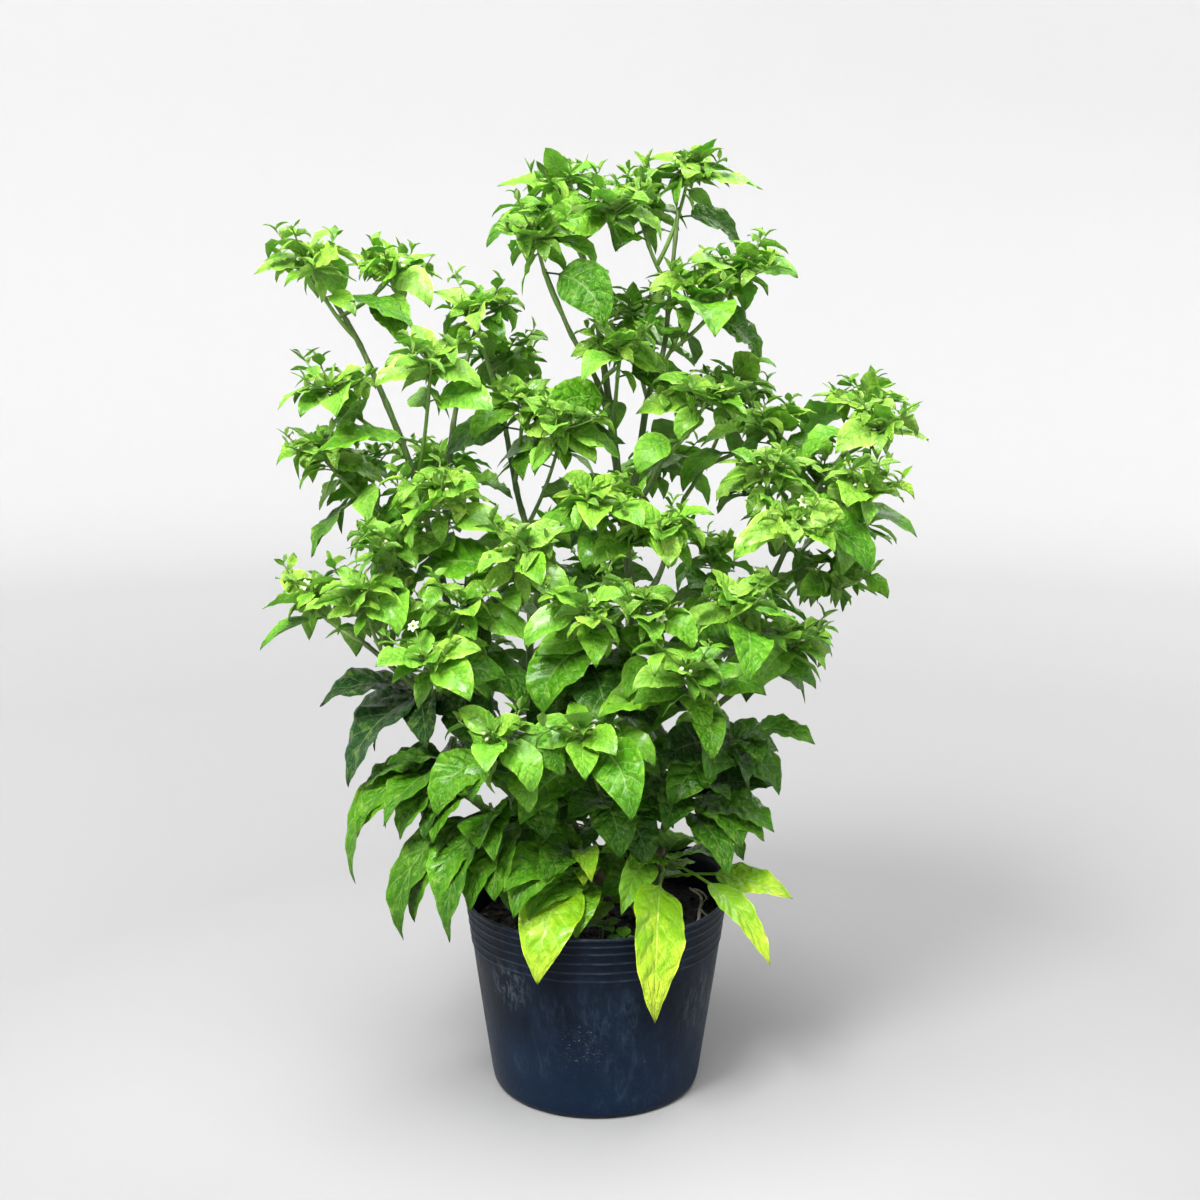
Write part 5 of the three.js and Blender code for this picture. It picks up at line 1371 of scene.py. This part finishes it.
# Flower buds: a bowed stalk that swells into a calyx and a pointed oval bud, one ring at a time
def addBuds(gathered, curve, rng):
    for _ in range(bud["count"]):
        root = curve([rng.uniform(*bud["between"])])[0]
        turn = rng.uniform(0, 2 * np.pi)
        length = rng.uniform(*bud["pedicel"])
        out = np.array([math.cos(turn), math.sin(turn), 0.0])
        middle = root + out * length * 0.5 + np.array([0, 0, length * 0.55])
        end = root + out * length * 0.95 + np.array([0, 0, length * rng.uniform(*bud["rise"])])
        shares = np.array(bud["rings"])
        points = bowed(root, middle, end, shares)
        scale = bud["radius"] * rng.uniform(*bud["size"])
        radii = np.array(bud["radii"])
        radii[3:] *= scale
        sides = bud["sides"]
        body, (quads, ends) = tube(points, radii, sides)
        slots = np.repeat(np.array([2, 2, 2, 2, 3, 3, 3, 3]), sides)
        mapped = np.column_stack([np.full(len(body), 0.5), np.append(np.repeat(shares, sides), [0, 1])])
        gathered.add(body, (quads, ends), [slots, np.repeat([2, 3], sides)], mapped)


flowerForm = {
    "petals": 6, "length": 6.0, "width": 0.6, "lift": 20, "droop": 40, "petiole": 0.05,
    "cone": (-0.6, 3.2), "coneRadii": [1.2, 1.3, 1.2, 1.0, 0.8, 0.4],
}


# Open flower: pointed petals round a small green cone, facing a given way
def addFlower(gathered, centre, facingTo, rng):
    centre = np.array(centre, float)
    axis = np.array(facingTo, float) / np.linalg.norm(facingTo)
    side = np.cross(axis, [0.3, 0.2, 0.9])
    side /= np.linalg.norm(side)
    matrix = np.stack([side, np.cross(axis, side), axis], axis=1)
    petals = []
    count = flowerForm["petals"]
    for i in range(count):
        leaf = newLeaf(
            centre, flowerForm["length"], flowerForm["width"], 360 * i / count, flowerForm["lift"],
            flowerForm["droop"], 0, 0, flowerForm["petiole"], rng)
        petals.append(dressed(leaf, 0, 0, rng))
    points, faces, slots, mapped, edge, _ = leafPoints(asArrays(petals), smallGrid)
    points = (points - centre) @ matrix.T + centre
    gathered.add(points, faces, [np.full(len(slot), 3) for slot in slots], mapped, edge)
    coneRadii = flowerForm["coneRadii"]
    cone = centre + axis * np.linspace(*flowerForm["cone"], len(coneRadii))[:, None]
    gathered.add(*tube(cone, coneRadii, 8, 0.15, 5), [2, 2])


flowers = [
    {"shoot": "shoot_front_right", "centre": (53, -136, 456), "facing": (0.1, -0.8, 0.6)},
    {"shoot": "shoot_left_front", "centre": (-146, -140, 450), "facing": (-0.4, -0.7, 0.6)},
    {"shoot": "shoot_left_low", "centre": (-246, -66, 472), "facing": (-0.3, -0.7, 0.6)},
    {"shoot": "shoot_right_front", "centre": (168, -118, 548), "facing": (0.4, -0.8, 0.4)},
    {"shoot": "shoot_top_centre", "centre": (4, -58, 792), "facing": (0.1, -0.8, 0.6)},
    {"shoot": "shoot_back_centre", "centre": (16, 170, 462), "facing": (0.1, 0.8, 0.6)},
]


# A flower's bowed stalk from the nearest twig end, and the flower
def addFlowers(gathered, name, tips, rng):
    for flower in flowers:
        if flower["shoot"] != name:
            continue
        centre = np.array(flower["centre"], float)
        root = min((np.array(tip, float) for tip in tips), key=lambda tip: np.linalg.norm(tip - centre))
        root = root - (0, 0, 6)
        middle = (root + centre) / 2 + (0, 0, 6)
        shares = np.linspace(0, 1, 12)
        gathered.add(*tube(bowed(root, middle, centre, shares), mix(0.45, 0.7, shares), 7), [2, 2])
        addFlower(gathered, centre, flower["facing"], rng)


ageing = {
    "high": 640, "low": 330, "reach": (240, 150), "youngest": 0.08, "lowShare": 0.24, "insideShare": 0.18,
}


# Age of a shoot's leaves: lime at the top and outside of the bush, darker low and inside
def shootAge(tip):
    low = smooth(ageing["high"], ageing["low"], tip[2])
    inside = smooth(0, 1, 1 - math.hypot(tip[0] / ageing["reach"][0], tip[1] / ageing["reach"][1]))
    return ageing["youngest"] + ageing["lowShare"] * low + ageing["insideShare"] * inside


# Leaves that close the bush low on its front and sides, by spray: place on the twig, tip, width,
# droop, petiole share, age and yellowing
lowerLeaves = {
    "spray_left_edge": [
        [0.9, [-203, -60, 291], 46, 60, 0.14, 0.55, 0.0], [0.8, [-206, -74, 252], 48, 88, 0.14, 0.5, 0.15],
        [0.7, [-166, -100, 258], 52, 80, 0.16, 0.45, 0.15],
        [0.5, [-137, -115, 259], 48, 70, 0.16, 0.55, 0.1], [0.6, [-178, -90, 321], 44, 50, 0.16, 0.6, 0.0]],
    "spray_left_low": [
        [0.9, [-154, -104, 186], 46, 100, 0.16, 0.5, 0.2], [0.8, [-133, -125, 210], 48, 90, 0.16, 0.45, 0.2],
        [0.6, [-105, -128, 204], 46, 90, 0.16, 0.5, 0.1], [0.9, [-96, -140, 263], 50, 60, 0.16, 0.5, 0.1],
        [0.7, [-142, -110, 302], 44, 56, 0.16, 0.6, 0.0]],
    "spray_front_left": [
        [0.7, [-76, -140, 226], 50, 74, 0.2, 0.35, 0.15], [0.5, [-56, -125, 196], 46, 80, 0.2, 0.4, 0.25],
        [0.9, [-42, -130, 232], 42, 70, 0.2, 0.45, 0.15], [0.6, [-10, -112, 222], 26, 74, 0.2, 0.25, 0.7],
        [0.3, [-34, -106, 178], 40, 84, 0.24, 0.3, 0.55]],
    "spray_front": [
        [0.9, [30, -76, 226], 38, 66, 0.24, 0.35, 0.35], [0.8, [112, -70, 230], 46, 56, 0.24, 0.3, 0.3],
        [0.6, [4, -80, 240], 36, 60, 0.24, 0.4, 0.3], [0.9, [89, -96, 252], 42, 60, 0.2, 0.4, 0.15]],
    "spray_right_low": [
        [0.8, [150, -60, 292], 44, 56, 0.16, 0.65, 0.0], [0.6, [147, -70, 247], 46, 66, 0.16, 0.5, 0.1],
        [0.7, [113, -110, 296], 42, 60, 0.16, 0.6, 0.0], [0.4, [132, -36, 218], 42, 70, 0.2, 0.55, 0.1]],
}


# How many more leaves each spray gets, where it isn't the usual number
moreLeaves = {"spray_front": 0, "spray_right_low": 3, "spray_front_left": 0, "spray_centre_low": 5}


addedLeaf = {
    "between": (0.35, 1), "length": (52, 84), "width": (0.48, 0.58), "lift": (-16, 36), "droop": (40, 95),
    "swerve": (-30, 30), "petiole": 0.18, "yellow": 0.5,
}


# More leaves between a spray's own, as old as those on average, and half as yellow
def moreOldLeaves(curve, entries, count, rng):
    leaves = []
    turn = rng.uniform(0, 360)
    age = sum(entry[5] for entry in entries) / len(entries)
    yellow = sum(entry[6] for entry in entries) / len(entries)
    for i in range(count):
        root = curve([rng.uniform(*addedLeaf["between"])])[0]
        leaf = newLeaf(
            root, rng.uniform(*addedLeaf["length"]), rng.uniform(*addedLeaf["width"]),
            turn + goldenAngle * i, rng.uniform(*addedLeaf["lift"]), rng.uniform(*addedLeaf["droop"]),
            rng.uniform(*addedLeaf["swerve"]), 0, addedLeaf["petiole"], rng)
        leaf["roll"] = outwardRoll(leaf["root"], leaf["bearing"])
        leaves.append(dressed(fitted(leaf), age, yellow * addedLeaf["yellow"], rng))
    return leaves


# Leafy shoots by CAD node: tips, and the place near which the twig springs from the stem
shoots = [
    ("shoot_top_centre", [[-30, -12, 812], [14, -44, 782]], None),
    ("shoot_top_left_of_centre", [[-50, -58, 768]], None),
    ("shoot_top_right", [[36, 36, 800], [82, 20, 826]], None),
    ("shoot_upper_right", [[84, -26, 722], [128, 12, 744]], None),
    ("shoot_upper_front", [[20, -62, 672]], [15, -1, 600]),
    ("shoot_upper_back", [[32, 64, 706]], None),
    ("shoot_top_left", [[-245, -22, 748], [-176, 22, 736]], None),
    ("shoot_left_of_centre_top", [[-104, 2, 708], [-84, 66, 660]], None),
    ("shoot_left_of_centre_front", [[-136, -62, 668]], [-158, -2, 546]),
    ("shoot_left_high", [[-226, -40, 640]], [-170, 0, 588]),
    ("shoot_left_far", [[-238, -34, 586], [-214, 28, 562]], [-146, -4, 502]),
    ("shoot_centre_left_front", [[-62, -22, 628], [-24, -76, 606]], None),
    ("shoot_right_of_centre_front", [[94, -64, 632]], [58, -36, 578]),
    ("shoot_right_of_centre_back", [[128, 54, 646], [158, 12, 604]], None),
    ("shoot_right_top", [[246, 46, 626], [246, -26, 604]], None),
    ("shoot_right_front", [[142, -78, 574], [162, -114, 530]], None),
    ("shoot_right_far", [[232, -62, 556], [206, 66, 552]], None),
    ("shoot_right_edge", [[232, 6, 516], [214, -6, 458]], None),
    ("shoot_right_low_front", [[168, -84, 428], [114, -118, 470]], None),
    ("shoot_right_low_back", [[152, 58, 442]], None),
    ("shoot_front_right", [[74, -150, 416], [38, -122, 468]], None),
    ("shoot_front_centre", [[-8, -146, 468]], None),
    ("shoot_front_high", [[-2, -98, 552], [58, -104, 524]], None),
    ("shoot_front_left", [[-58, -110, 514]], None),
    ("shoot_left_front", [[-108, -116, 468], [-136, -146, 424]], None),
    ("shoot_left_low", [[-248, -46, 458]], [-200, -53, 420]),
    ("shoot_left_low_front", [[-192, -106, 474], [-166, -92, 516]], None),
    ("shoot_left_mid_front", [[-130, -88, 556]], None),
    ("shoot_lime_front", [[-82, -162, 368]], [-50, -7, 272]),
    ("shoot_front_low", [[-12, -156, 368]], [36, 5, 302]),
    ("shoot_back_high", [[-30, 104, 604], [72, 122, 560]], None),
    ("shoot_back_left", [[-150, 112, 566], [-200, 92, 492]], None),
    ("shoot_back_centre", [[-70, 154, 488], [8, 164, 446]], None),
    ("shoot_back_right", [[112, 148, 470], [166, 122, 384]], None),
    ("shoot_back_low_left", [[-132, 128, 392]], None),
    ("shoot_back_low", [[20, 142, 330], [-60, 150, 340]], None),
]
# The second twig of a shoot forks from the first; leaves older than the shoot, by their rank
shootTwig = {
    "radii": (2.0, 1.4), "forkShare": 0.3, "rings": 40, "whorlAge": (0, -0.1), "twigAge": (0.42, -0.26),
}


# One shoot: its twigs with the CAD's whorl and twig leaves, and the small leaves, branchlets, buds
# and flowers that fill it out. Gives the number of leaves that had no room.
def makeShoot(number, name, tips, near):
    corners = nodeCorners(name)
    leafy = Gathered()
    rng = np.random.default_rng(seeds["shoots"] + number)
    fine, medium, small, tiny = [], [], [], []
    firstCurve = None
    missing = 0
    for i, tip in enumerate(tips):
        foot = footOnStem(tip, near) if i == 0 else firstCurve([shootTwig["forkShare"]])[0]
        curve = curveOfShoot(foot, tip)
        firstCurve = firstCurve or curve
        shares = shootShares(curve)
        age = shootAge(tip)
        kinds = ((whorlLeaves, shootTwig["whorlAge"], medium), (twigLeaves, shootTwig["twigAge"], fine))
        for kind, (leavesOf, (older, byRank), chosen) in enumerate(kinds):
            wanted = leavesOf(curve, shares, number * 16 + i * 4 + kind * 2)
            for k, leaf in enumerate(wanted):
                leaf = settled(leaf, corners)
                if leaf is None:
                    missing += 1
                else:
                    chosen.append(dressed(leaf, age + older + byRank * k / len(wanted), 0.0, rng))
        small += tierLeaves(curve, age, rng)
        small += fillLeaves(curve, tip, age, rng)
        tiny += addBranchlets(leafy, curve, tip, age, rng)
        middles = [(a + b) / 2 for a, b in zip(shares[1:], shares[2:])]
        addTwig(leafy, curve, shootTwig["radii"], middles, shootTwig["rings"])
        addBuds(leafy, curve, rng)
    addFlowers(leafy, name, tips, rng)
    addLeaves(leafy, fine, fineGrid)
    addLeaves(leafy, medium, mediumGrid)
    addLeaves(leafy, small, smallGrid)
    addLeaves(leafy, tiny, tinyGrid)
    finishLeafy(leafy, name)
    return missing


missing = sum(makeShoot(number, *shoot) for number, shoot in enumerate(shoots))
print("shoots ready, leaves left out", missing)


# Sprays of old leaves by CAD node: twig radius, twig, and each leaf's place on the twig, tip,
# width, droop, petiole share, age (0 young, 1 old) and yellowing
sprays = [
    ("spray_front", 2.6, [[50, 1, 180], [59, -9, 190], [62, -12, 214]], [
        [0.55, [50, -142, 112], 52, 118, 0.3, 0.3, 1.0], [0.9, [150, -106, 148], 30, 58, 0.38, 0.2, 1.0],
        [0.45, [174, -62, 192], 34, 42, 0.42, 0.3, 0.7], [0.2, [104, -48, 226], 44, 55, 0.2, 0.6, 0.1],
        [0.9, [22, -104, 192], 32, 80, 0.3, 0.3, 0.4], [0.3, [4, -70, 196], 32, 60, 0.3, 0.5, 0.2]]),
    ("spray_front_left", 2.6, [[26, 4, 172], [8, -26, 186], [-10, -48, 208], [-14, -54, 238]], [
        [0.6, [-48, -142, 146], 54, 100, 0.25, 0.35, 0.75], [0.85, [-68, -138, 202], 46, 95, 0.25, 0.6, 0.1],
        [0.9, [-3, -138, 234], 24, 60, 0.2, 0.4, 0.6], [0.4, [-16, -122, 178], 36, 85, 0.3, 0.5, 0.3],
        [0.95, [-80, -116, 256], 44, 60, 0.2, 0.6, 0.1], [0.2, [-38, -40, 176], 36, 60, 0.2, 0.5, 0.3]]),
    ("spray_left_low", 2.4, [[-30, -5, 238], [-58, -32, 240], [-84, -52, 250], [-92, -58, 278]], [
        [0.6, [-84, -130, 214], 56, 90, 0.2, 0.55, 0.1], [0.85, [-122, -130, 178], 38, 100, 0.2, 0.6, 0.1],
        [0.95, [-164, -104, 170], 40, 105, 0.2, 0.55, 0.2], [0.4, [-104, -92, 190], 40, 80, 0.2, 0.7, 0.0],
        [0.95, [-176, -112, 250], 46, 70, 0.16, 0.5, 0.15], [0.3, [-124, 10, 206], 44, 70, 0.2, 0.7, 0.0]]),
    ("spray_left_edge", 2.2, [[-70, -9, 302], [-104, -28, 294], [-126, -36, 318]], [
        [0.95, [-210, -64, 206], 42, 100, 0.16, 0.55, 0.15],
        [0.8, [-178, -112, 274], 54, 64, 0.16, 0.5, 0.1],
        [0.9, [-206, -14, 232], 46, 90, 0.16, 0.65, 0.0], [0.4, [-132, 56, 240], 50, 80, 0.16, 0.7, 0.0],
        [0.3, [-138, -92, 232], 46, 80, 0.2, 0.6, 0.1], [0.5, [-196, -52, 290], 50, 60, 0.16, 0.7, 0.0]]),
    ("spray_left_dark", 2.2, [[-108, -10, 374], [-132, -16, 372], [-156, -24, 366]], [
        [0.35, [-214, -66, 294], 58, 80, 0.16, 1.0, 0.0], [0.9, [-240, -50, 362], 56, 75, 0.14, 1.0, 0.0],
        [0.95, [-228, -18, 312], 46, 85, 0.16, 0.95, 0.0], [0.6, [-206, 40, 298], 48, 85, 0.16, 0.9, 0.0],
        [0.2, [-150, -92, 320], 50, 80, 0.16, 0.85, 0.0], [0.5, [-180, -104, 346], 48, 70, 0.16, 0.8, 0.0]]),
    ("spray_centre_dark", 2.4, [[31, 5, 362], [14, -22, 366], [-6, -46, 378], [-12, -54, 406]], [
        [0.95, [10, -140, 364], 60, 80, 0.2, 0.6, 0.0], [0.8, [-72, -110, 384], 48, 64, 0.16, 0.75, 0.0],
        [0.5, [52, -92, 352], 48, 70, 0.16, 0.8, 0.0], [0.3, [-60, -44, 340], 46, 64, 0.16, 0.8, 0.0],
        [0.2, [86, -62, 388], 44, 64, 0.16, 0.85, 0.0], [0.6, [-62, -92, 330], 46, 76, 0.16, 0.8, 0.0]]),
    ("spray_centre_low", 2.4, [[40, 6, 262], [24, -22, 268], [4, -48, 284], [-2, -56, 312]], [
        [0.95, [-62, -142, 284], 48, 75, 0.2, 0.45, 0.2], [0.9, [30, -142, 298], 40, 70, 0.2, 0.5, 0.1],
        [0.6, [4, -100, 240], 42, 85, 0.2, 0.7, 0.0], [0.45, [-52, -66, 252], 46, 70, 0.16, 0.75, 0.0],
        [0.2, [44, -66, 222], 40, 76, 0.2, 0.75, 0.0], [0.7, [-72, -60, 300], 46, 64, 0.16, 0.7, 0.0]]),
    ("spray_right_low", 2.4, [[64, -12, 246], [76, -22, 262], [84, -30, 280]], [
        [0.95, [162, -40, 288], 46, 60, 0.16, 0.6, 0.05], [0.6, [156, -66, 254], 50, 62, 0.16, 0.5, 0.15],
        [0.3, [114, -92, 222], 40, 80, 0.2, 0.6, 0.1], [0.9, [34, -92, 266], 38, 70, 0.2, 0.7, 0.0],
        [0.8, [132, 34, 264], 46, 66, 0.16, 0.7, 0.0], [0.5, [104, -108, 274], 44, 74, 0.2, 0.6, 0.1]]),
    ("spray_right_mid", 2.2, [[86, -30, 327], [104, -46, 326], [122, -56, 332]], [
        [0.5, [164, -14, 312], 40, 70, 0.16, 0.7, 0.0], [0.95, [186, -94, 340], 42, 74, 0.16, 0.6, 0.1],
        [0.8, [92, -128, 318], 44, 70, 0.16, 0.6, 0.1], [0.3, [56, -96, 322], 42, 64, 0.2, 0.75, 0.0]]),
    ("spray_back_low", 2.4, [[10, 16, 192], [-4, 42, 216], [-18, 70, 236]], [
        [0.95, [-54, 148, 178], 54, 95, 0.2, 0.5, 0.3], [0.9, [28, 150, 194], 52, 90, 0.2, 0.6, 0.1],
        [0.7, [-104, 86, 212], 52, 80, 0.16, 0.7, 0.0], [0.4, [70, 96, 208], 46, 70, 0.16, 0.7, 0.0],
        [0.6, [-14, 152, 250], 48, 64, 0.2, 0.6, 0.1]]),
    ("spray_back_right", 2.2, [[40, 6, 268], [60, 30, 282], [82, 54, 296]], [
        [0.95, [156, 112, 258], 54, 84, 0.16, 0.6, 0.1], [0.8, [62, 142, 264], 52, 80, 0.16, 0.7, 0.0],
        [0.6, [158, 44, 302], 46, 60, 0.16, 0.7, 0.0], [0.3, [112, 96, 222], 46, 80, 0.16, 0.7, 0.0]]),
]
sprayTwig = {"from": 0.3, "taper": 0.6, "rings": 26, "older": 0.1, "added": 9}


# One spray: its twig with the CAD's old leaves, the lower leaves, and more between them. Gives the
# number of leaves that had no room.
def makeSpray(number, name, radius, path, entries):
    corners = nodeCorners(name)
    leafy = Gathered()
    rng = np.random.default_rng(seeds["sprays"] + number)
    segments = len(entries)
    shares = [0] + [mix(sprayTwig["from"], 1, i / segments) for i in range(segments + 1)]

    def curve(at):
        return throughPoints(path, at)
    fine = []
    missing = 0
    for i, (at, tip, width, droop, petiole, age, yellow) in enumerate(entries):
        segment = min(len(shares) - 2, 1 + int(at * (len(shares) - 2)))
        root = rootOn(curve, shares, segment)
        leaf = settled({
            "root": root, "width": width, "petiole": petiole, "droop": math.radians(droop), "swerve": 0.0,
            "roll": 0.0, "wavePhase": 1 + 2.4 * i, **aimed(root, tip, math.radians(droop))}, corners)
        if leaf is None:
            missing += 1
        else:
            fine.append(dressed(leaf, age + sprayTwig["older"], yellow, rng))
    for at, tip, width, droop, petiole, age, yellow in lowerLeaves.get(name, []):
        leaf = newLeaf(curve([at])[0], 0, 0, 0, 0, droop, 0, 0, petiole, rng)
        leaf.update(aimed(leaf["root"], tip, leaf["droop"]), width=width)
        leaf["roll"] = outwardRoll(leaf["root"], leaf["bearing"])
        fine.append(dressed(fitted(leaf), age + sprayTwig["older"], yellow, rng))
    fine += moreOldLeaves(curve, entries, moreLeaves.get(name, sprayTwig["added"]), rng)
    addLeaves(leafy, fine, fineGrid)
    middles = [(a + b) / 2 for a, b in zip(shares[1:], shares[2:])]
    addTwig(leafy, curve, (radius, radius * sprayTwig["taper"]), middles, sprayTwig["rings"])
    finishLeafy(leafy, name)
    return missing


missing += sum(makeSpray(number, *spray) for number, spray in enumerate(sprays))
print("sprays ready, leaves left out in all", missing)


# Seedlings on the soil: place, height and leaf length
seedlings = [
    {"place": (6, -66), "tall": 23, "leaf": 21}, {"place": (27, -78), "tall": 16, "leaf": 18},
    {"place": (47, -88), "tall": 14, "leaf": 16}, {"place": (72, -58), "tall": 12, "leaf": 13},
    {"place": (-24, -58), "tall": 14, "leaf": 17}, {"place": (-62, -66), "tall": 11, "leaf": 11},
    {"place": (66, -28), "tall": 8, "leaf": 9}, {"place": (10, 62), "tall": 10, "leaf": 12},
    {"place": (-70, 28), "tall": 9, "leaf": 11}, {"place": (84, -62), "tall": 7, "leaf": 8},
]
seedling = {
    "sunk": 2.0, "lean": 2, "radius": (0.7, 0.5), "leaves": 4, "size": (0.8, 1.1), "width": 0.72,
    "lift": (10, 40), "droop": 50, "petiole": 0.16, "age": 0.5,
}


# Each seedling: a bowed stalk, and four leaves a quarter turn apart at its top
def makeSeedlings():
    young = Gathered()
    rng = np.random.default_rng(seeds["seedlings"])
    leaves = []
    for plan in seedlings:
        x, y = plan["place"]
        surface = soilHeight(np.array([x]), np.array([y]))[0]
        foot = np.array([x, y, surface - seedling["sunk"]])
        lean = seedling["lean"]
        top = foot + (rng.uniform(-lean, lean), rng.uniform(-lean, lean), plan["tall"])
        shares = np.linspace(0, 1, 8)
        line = bowed(foot, (foot + top) / 2 + (rng.uniform(-1, 1), 0, 1), top, shares)
        young.add(*tube(line, mix(*seedling["radius"], shares), 7), [2, 2])
        turn = rng.uniform(0, 360)
        for i in range(seedling["leaves"]):
            leaf = newLeaf(
                top, plan["leaf"] * rng.uniform(*seedling["size"]), seedling["width"],
                turn + 360 * i / seedling["leaves"], rng.uniform(*seedling["lift"]), seedling["droop"],
                0, 0, seedling["petiole"], rng)
            leaves.append(dressed(leaf, seedling["age"], 0, rng))
    addLeaves(young, leaves, smallGrid)
    piece = young.finish("seedlings", leafMaterials, leafKinds)


# Leaves on long stalks round the foot of the trunk: bearing, length, width, lift, droop, age and
# yellowing
baseLeaves = [
    [-162, 72, 25, 14, 50, 0.3, 0.5], [-138, 66, 21, 6, 42, 0.25, 0.6], [172, 64, 23, 26, 60, 0.4, 0.2],
    [-112, 60, 24, 34, 64, 0.3, 0.4], [10, 60, 24, 48, 60, 0.3, 0.3], [150, 76, 28, 20, 50, 0.4, 0.3],
    [84, 70, 27, 24, 52, 0.45, 0.2], [118, 62, 24, 32, 60, 0.3, 0.4], [48, 66, 25, 22, 50, 0.4, 0.3],
]
baseLeaf = {"out": 4, "heights": (159, 176), "swerve": (-20, 20), "petiole": 0.5}


# Leaves that spring from the trunk's sides just over the ground
def makeBaseLeaves():
    leafy = Gathered()
    rng = np.random.default_rng(seeds["baseLeaves"])
    leaves = []
    for bearing, length, width, lift, droop, age, yellow in baseLeaves:
        way = math.radians(bearing)
        out = baseLeaf["out"]
        root = (
            trunk["x"] + out * math.cos(way), trunk["y"] + out * math.sin(way),
            rng.uniform(*baseLeaf["heights"]))
        leaf = newLeaf(
            root, length, width / length, bearing, lift, droop, rng.uniform(*baseLeaf["swerve"]), 0,
            baseLeaf["petiole"], rng)
        leaves.append(dressed(leaf, age, yellow, rng))
    addLeaves(leafy, leaves, fineGrid)
    piece = leafy.finish("baseLeaves", leafMaterials, leafKinds)


makeSeedlings()
makeBaseLeaves()
faces = sum(len(piece.data.polygons) for piece in bpy.data.objects if piece.type == "MESH")
print("seedlings ready, faces in all", faces)


# Studio, in metres: the floor's grey goes by the share of the way from near to far. This is painted
# light: the grey is lighter right round the pot to soften the plant's shadow, and lighter again far
# off to make up for the lamps' falloff
studio = {
    "paint": [(0, 0.29), (0.06, 0.255), (0.25, 0.33), (0.6, 0.54), (0.85, 0.60)], "near": 0.3, "far": 6.3,
    "ambient": 0.62, "flat": 3.2, "bend": 1.6, "wallTop": 7.5, "sides": 72,
    "lights": [
        {"name": "skyLight", "place": (-0.4, -1.3, 4.3), "target": (0, 0, 0.4), "size": 3.8, "energy": 330},
        {"name": "frontLight", "place": (-1.3, -2.3, 3.2), "target": (0, 0, 0.45), "size": 1.2,
         "energy": 185},
        {"name": "backLight", "place": (1.6, 2.2, 3.4), "target": (0, 0, 0.5), "size": 1.6, "energy": 50},
    ],
    "camera": {"lens": 47.76, "sensor": 36, "place": (0.004, -1.4, 0.68), "down": 9.4},
}


# Pale round floor whose edge curves up into a wall: a profile (radius, height) carried round
def makeStage():
    turn = np.radians(np.linspace(0, 90, 14))
    bend, flat = studio["bend"], studio["flat"]
    radius = np.concatenate([[0.4, 1.2, 2.2], flat + bend * np.sin(turn), [flat + bend] * 2])
    height = np.concatenate([[0, 0, 0], bend - bend * np.cos(turn), [4.5, studio["wallTop"]]])
    sides = studio["sides"]
    angle = 2 * np.pi * np.arange(sides) / sides
    rings = np.stack([radius[:, None] * np.cos(angle), radius[:, None] * np.sin(angle),
                      np.repeat(height[:, None], sides, axis=1)], -1)
    points = np.vstack([rings.reshape(-1, 3), [[0, 0, 0]]])
    corner = np.arange(sides)
    row = np.arange(len(radius) - 1)[:, None] * sides
    quads = np.stack([row + corner, row + sides + corner, row + sides + (corner + 1) % sides,
                      row + (corner + 1) % sides], -1).reshape(-1, 4)
    middle = np.stack([np.full(sides, len(points) - 1), corner, (corner + 1) % sides], -1)
    mesh = bpy.data.meshes.new("studioFloor")
    mesh.from_pydata(points.tolist(), [], quads.tolist() + middle.tolist())
    mesh.shade_smooth()
    floor = bpy.data.objects.new("studioFloor", mesh)
    bpy.context.scene.collection.objects.link(floor)
    material, n, output = newMaterial("studioFloor")
    # Painted light in the floor's grey: lighter by the pot against its shadow, and lighter far off against
    # the lamps' falloff
    away = n.vector("LENGTH", n.place()).outputs["Value"]
    paint = n.ramp(n.range(away, studio["near"], studio["far"], 0.0, 1.0, "LINEAR"), [
        (position, (grey, grey, grey)) for position, grey in studio["paint"]])
    shader = n.new("ShaderNodeBsdfPrincipled", {
        "Base Color": paint, "Roughness": 0.85, "Specular IOR Level": 0.2})
    n.feed(output.inputs[0], shader.outputs[0])
    mesh.materials.append(material)


# Round area light that looks at a target
def addLight(name, place, target, size, energy):
    light = bpy.data.lights.new(name, "AREA")
    light.shape, light.size, light.energy = "DISK", size, energy
    lamp = bpy.data.objects.new(name, light)
    lamp.location = place
    way = np.array(target) - np.array(place)
    lamp.rotation_euler = (
        math.atan2(math.hypot(way[0], way[1]), -way[2]), 0, math.atan2(way[1], way[0]) - math.pi / 2)
    bpy.context.scene.collection.objects.link(lamp)


makeStage()
world = bpy.data.worlds.new("studio")
world.use_nodes = True
world.node_tree.nodes["Background"].inputs[0].default_value = rgba(1.0, 1.0, 1.0)
world.node_tree.nodes["Background"].inputs[1].default_value = studio["ambient"]
bpy.context.scene.world = world
for lamp in studio["lights"]:
    addLight(**lamp)

view = studio["camera"]
cameraData = bpy.data.cameras.new("photoCamera")
cameraData.lens, cameraData.sensor_width = view["lens"], view["sensor"]
camera = bpy.data.objects.new("photoCamera", cameraData)
camera.location = view["place"]
camera.rotation_euler = (math.radians(90 - view["down"]), 0, 0)
bpy.context.scene.collection.objects.link(camera)
bpy.context.scene.camera = camera
bpy.context.scene.view_settings.view_transform = "Standard"
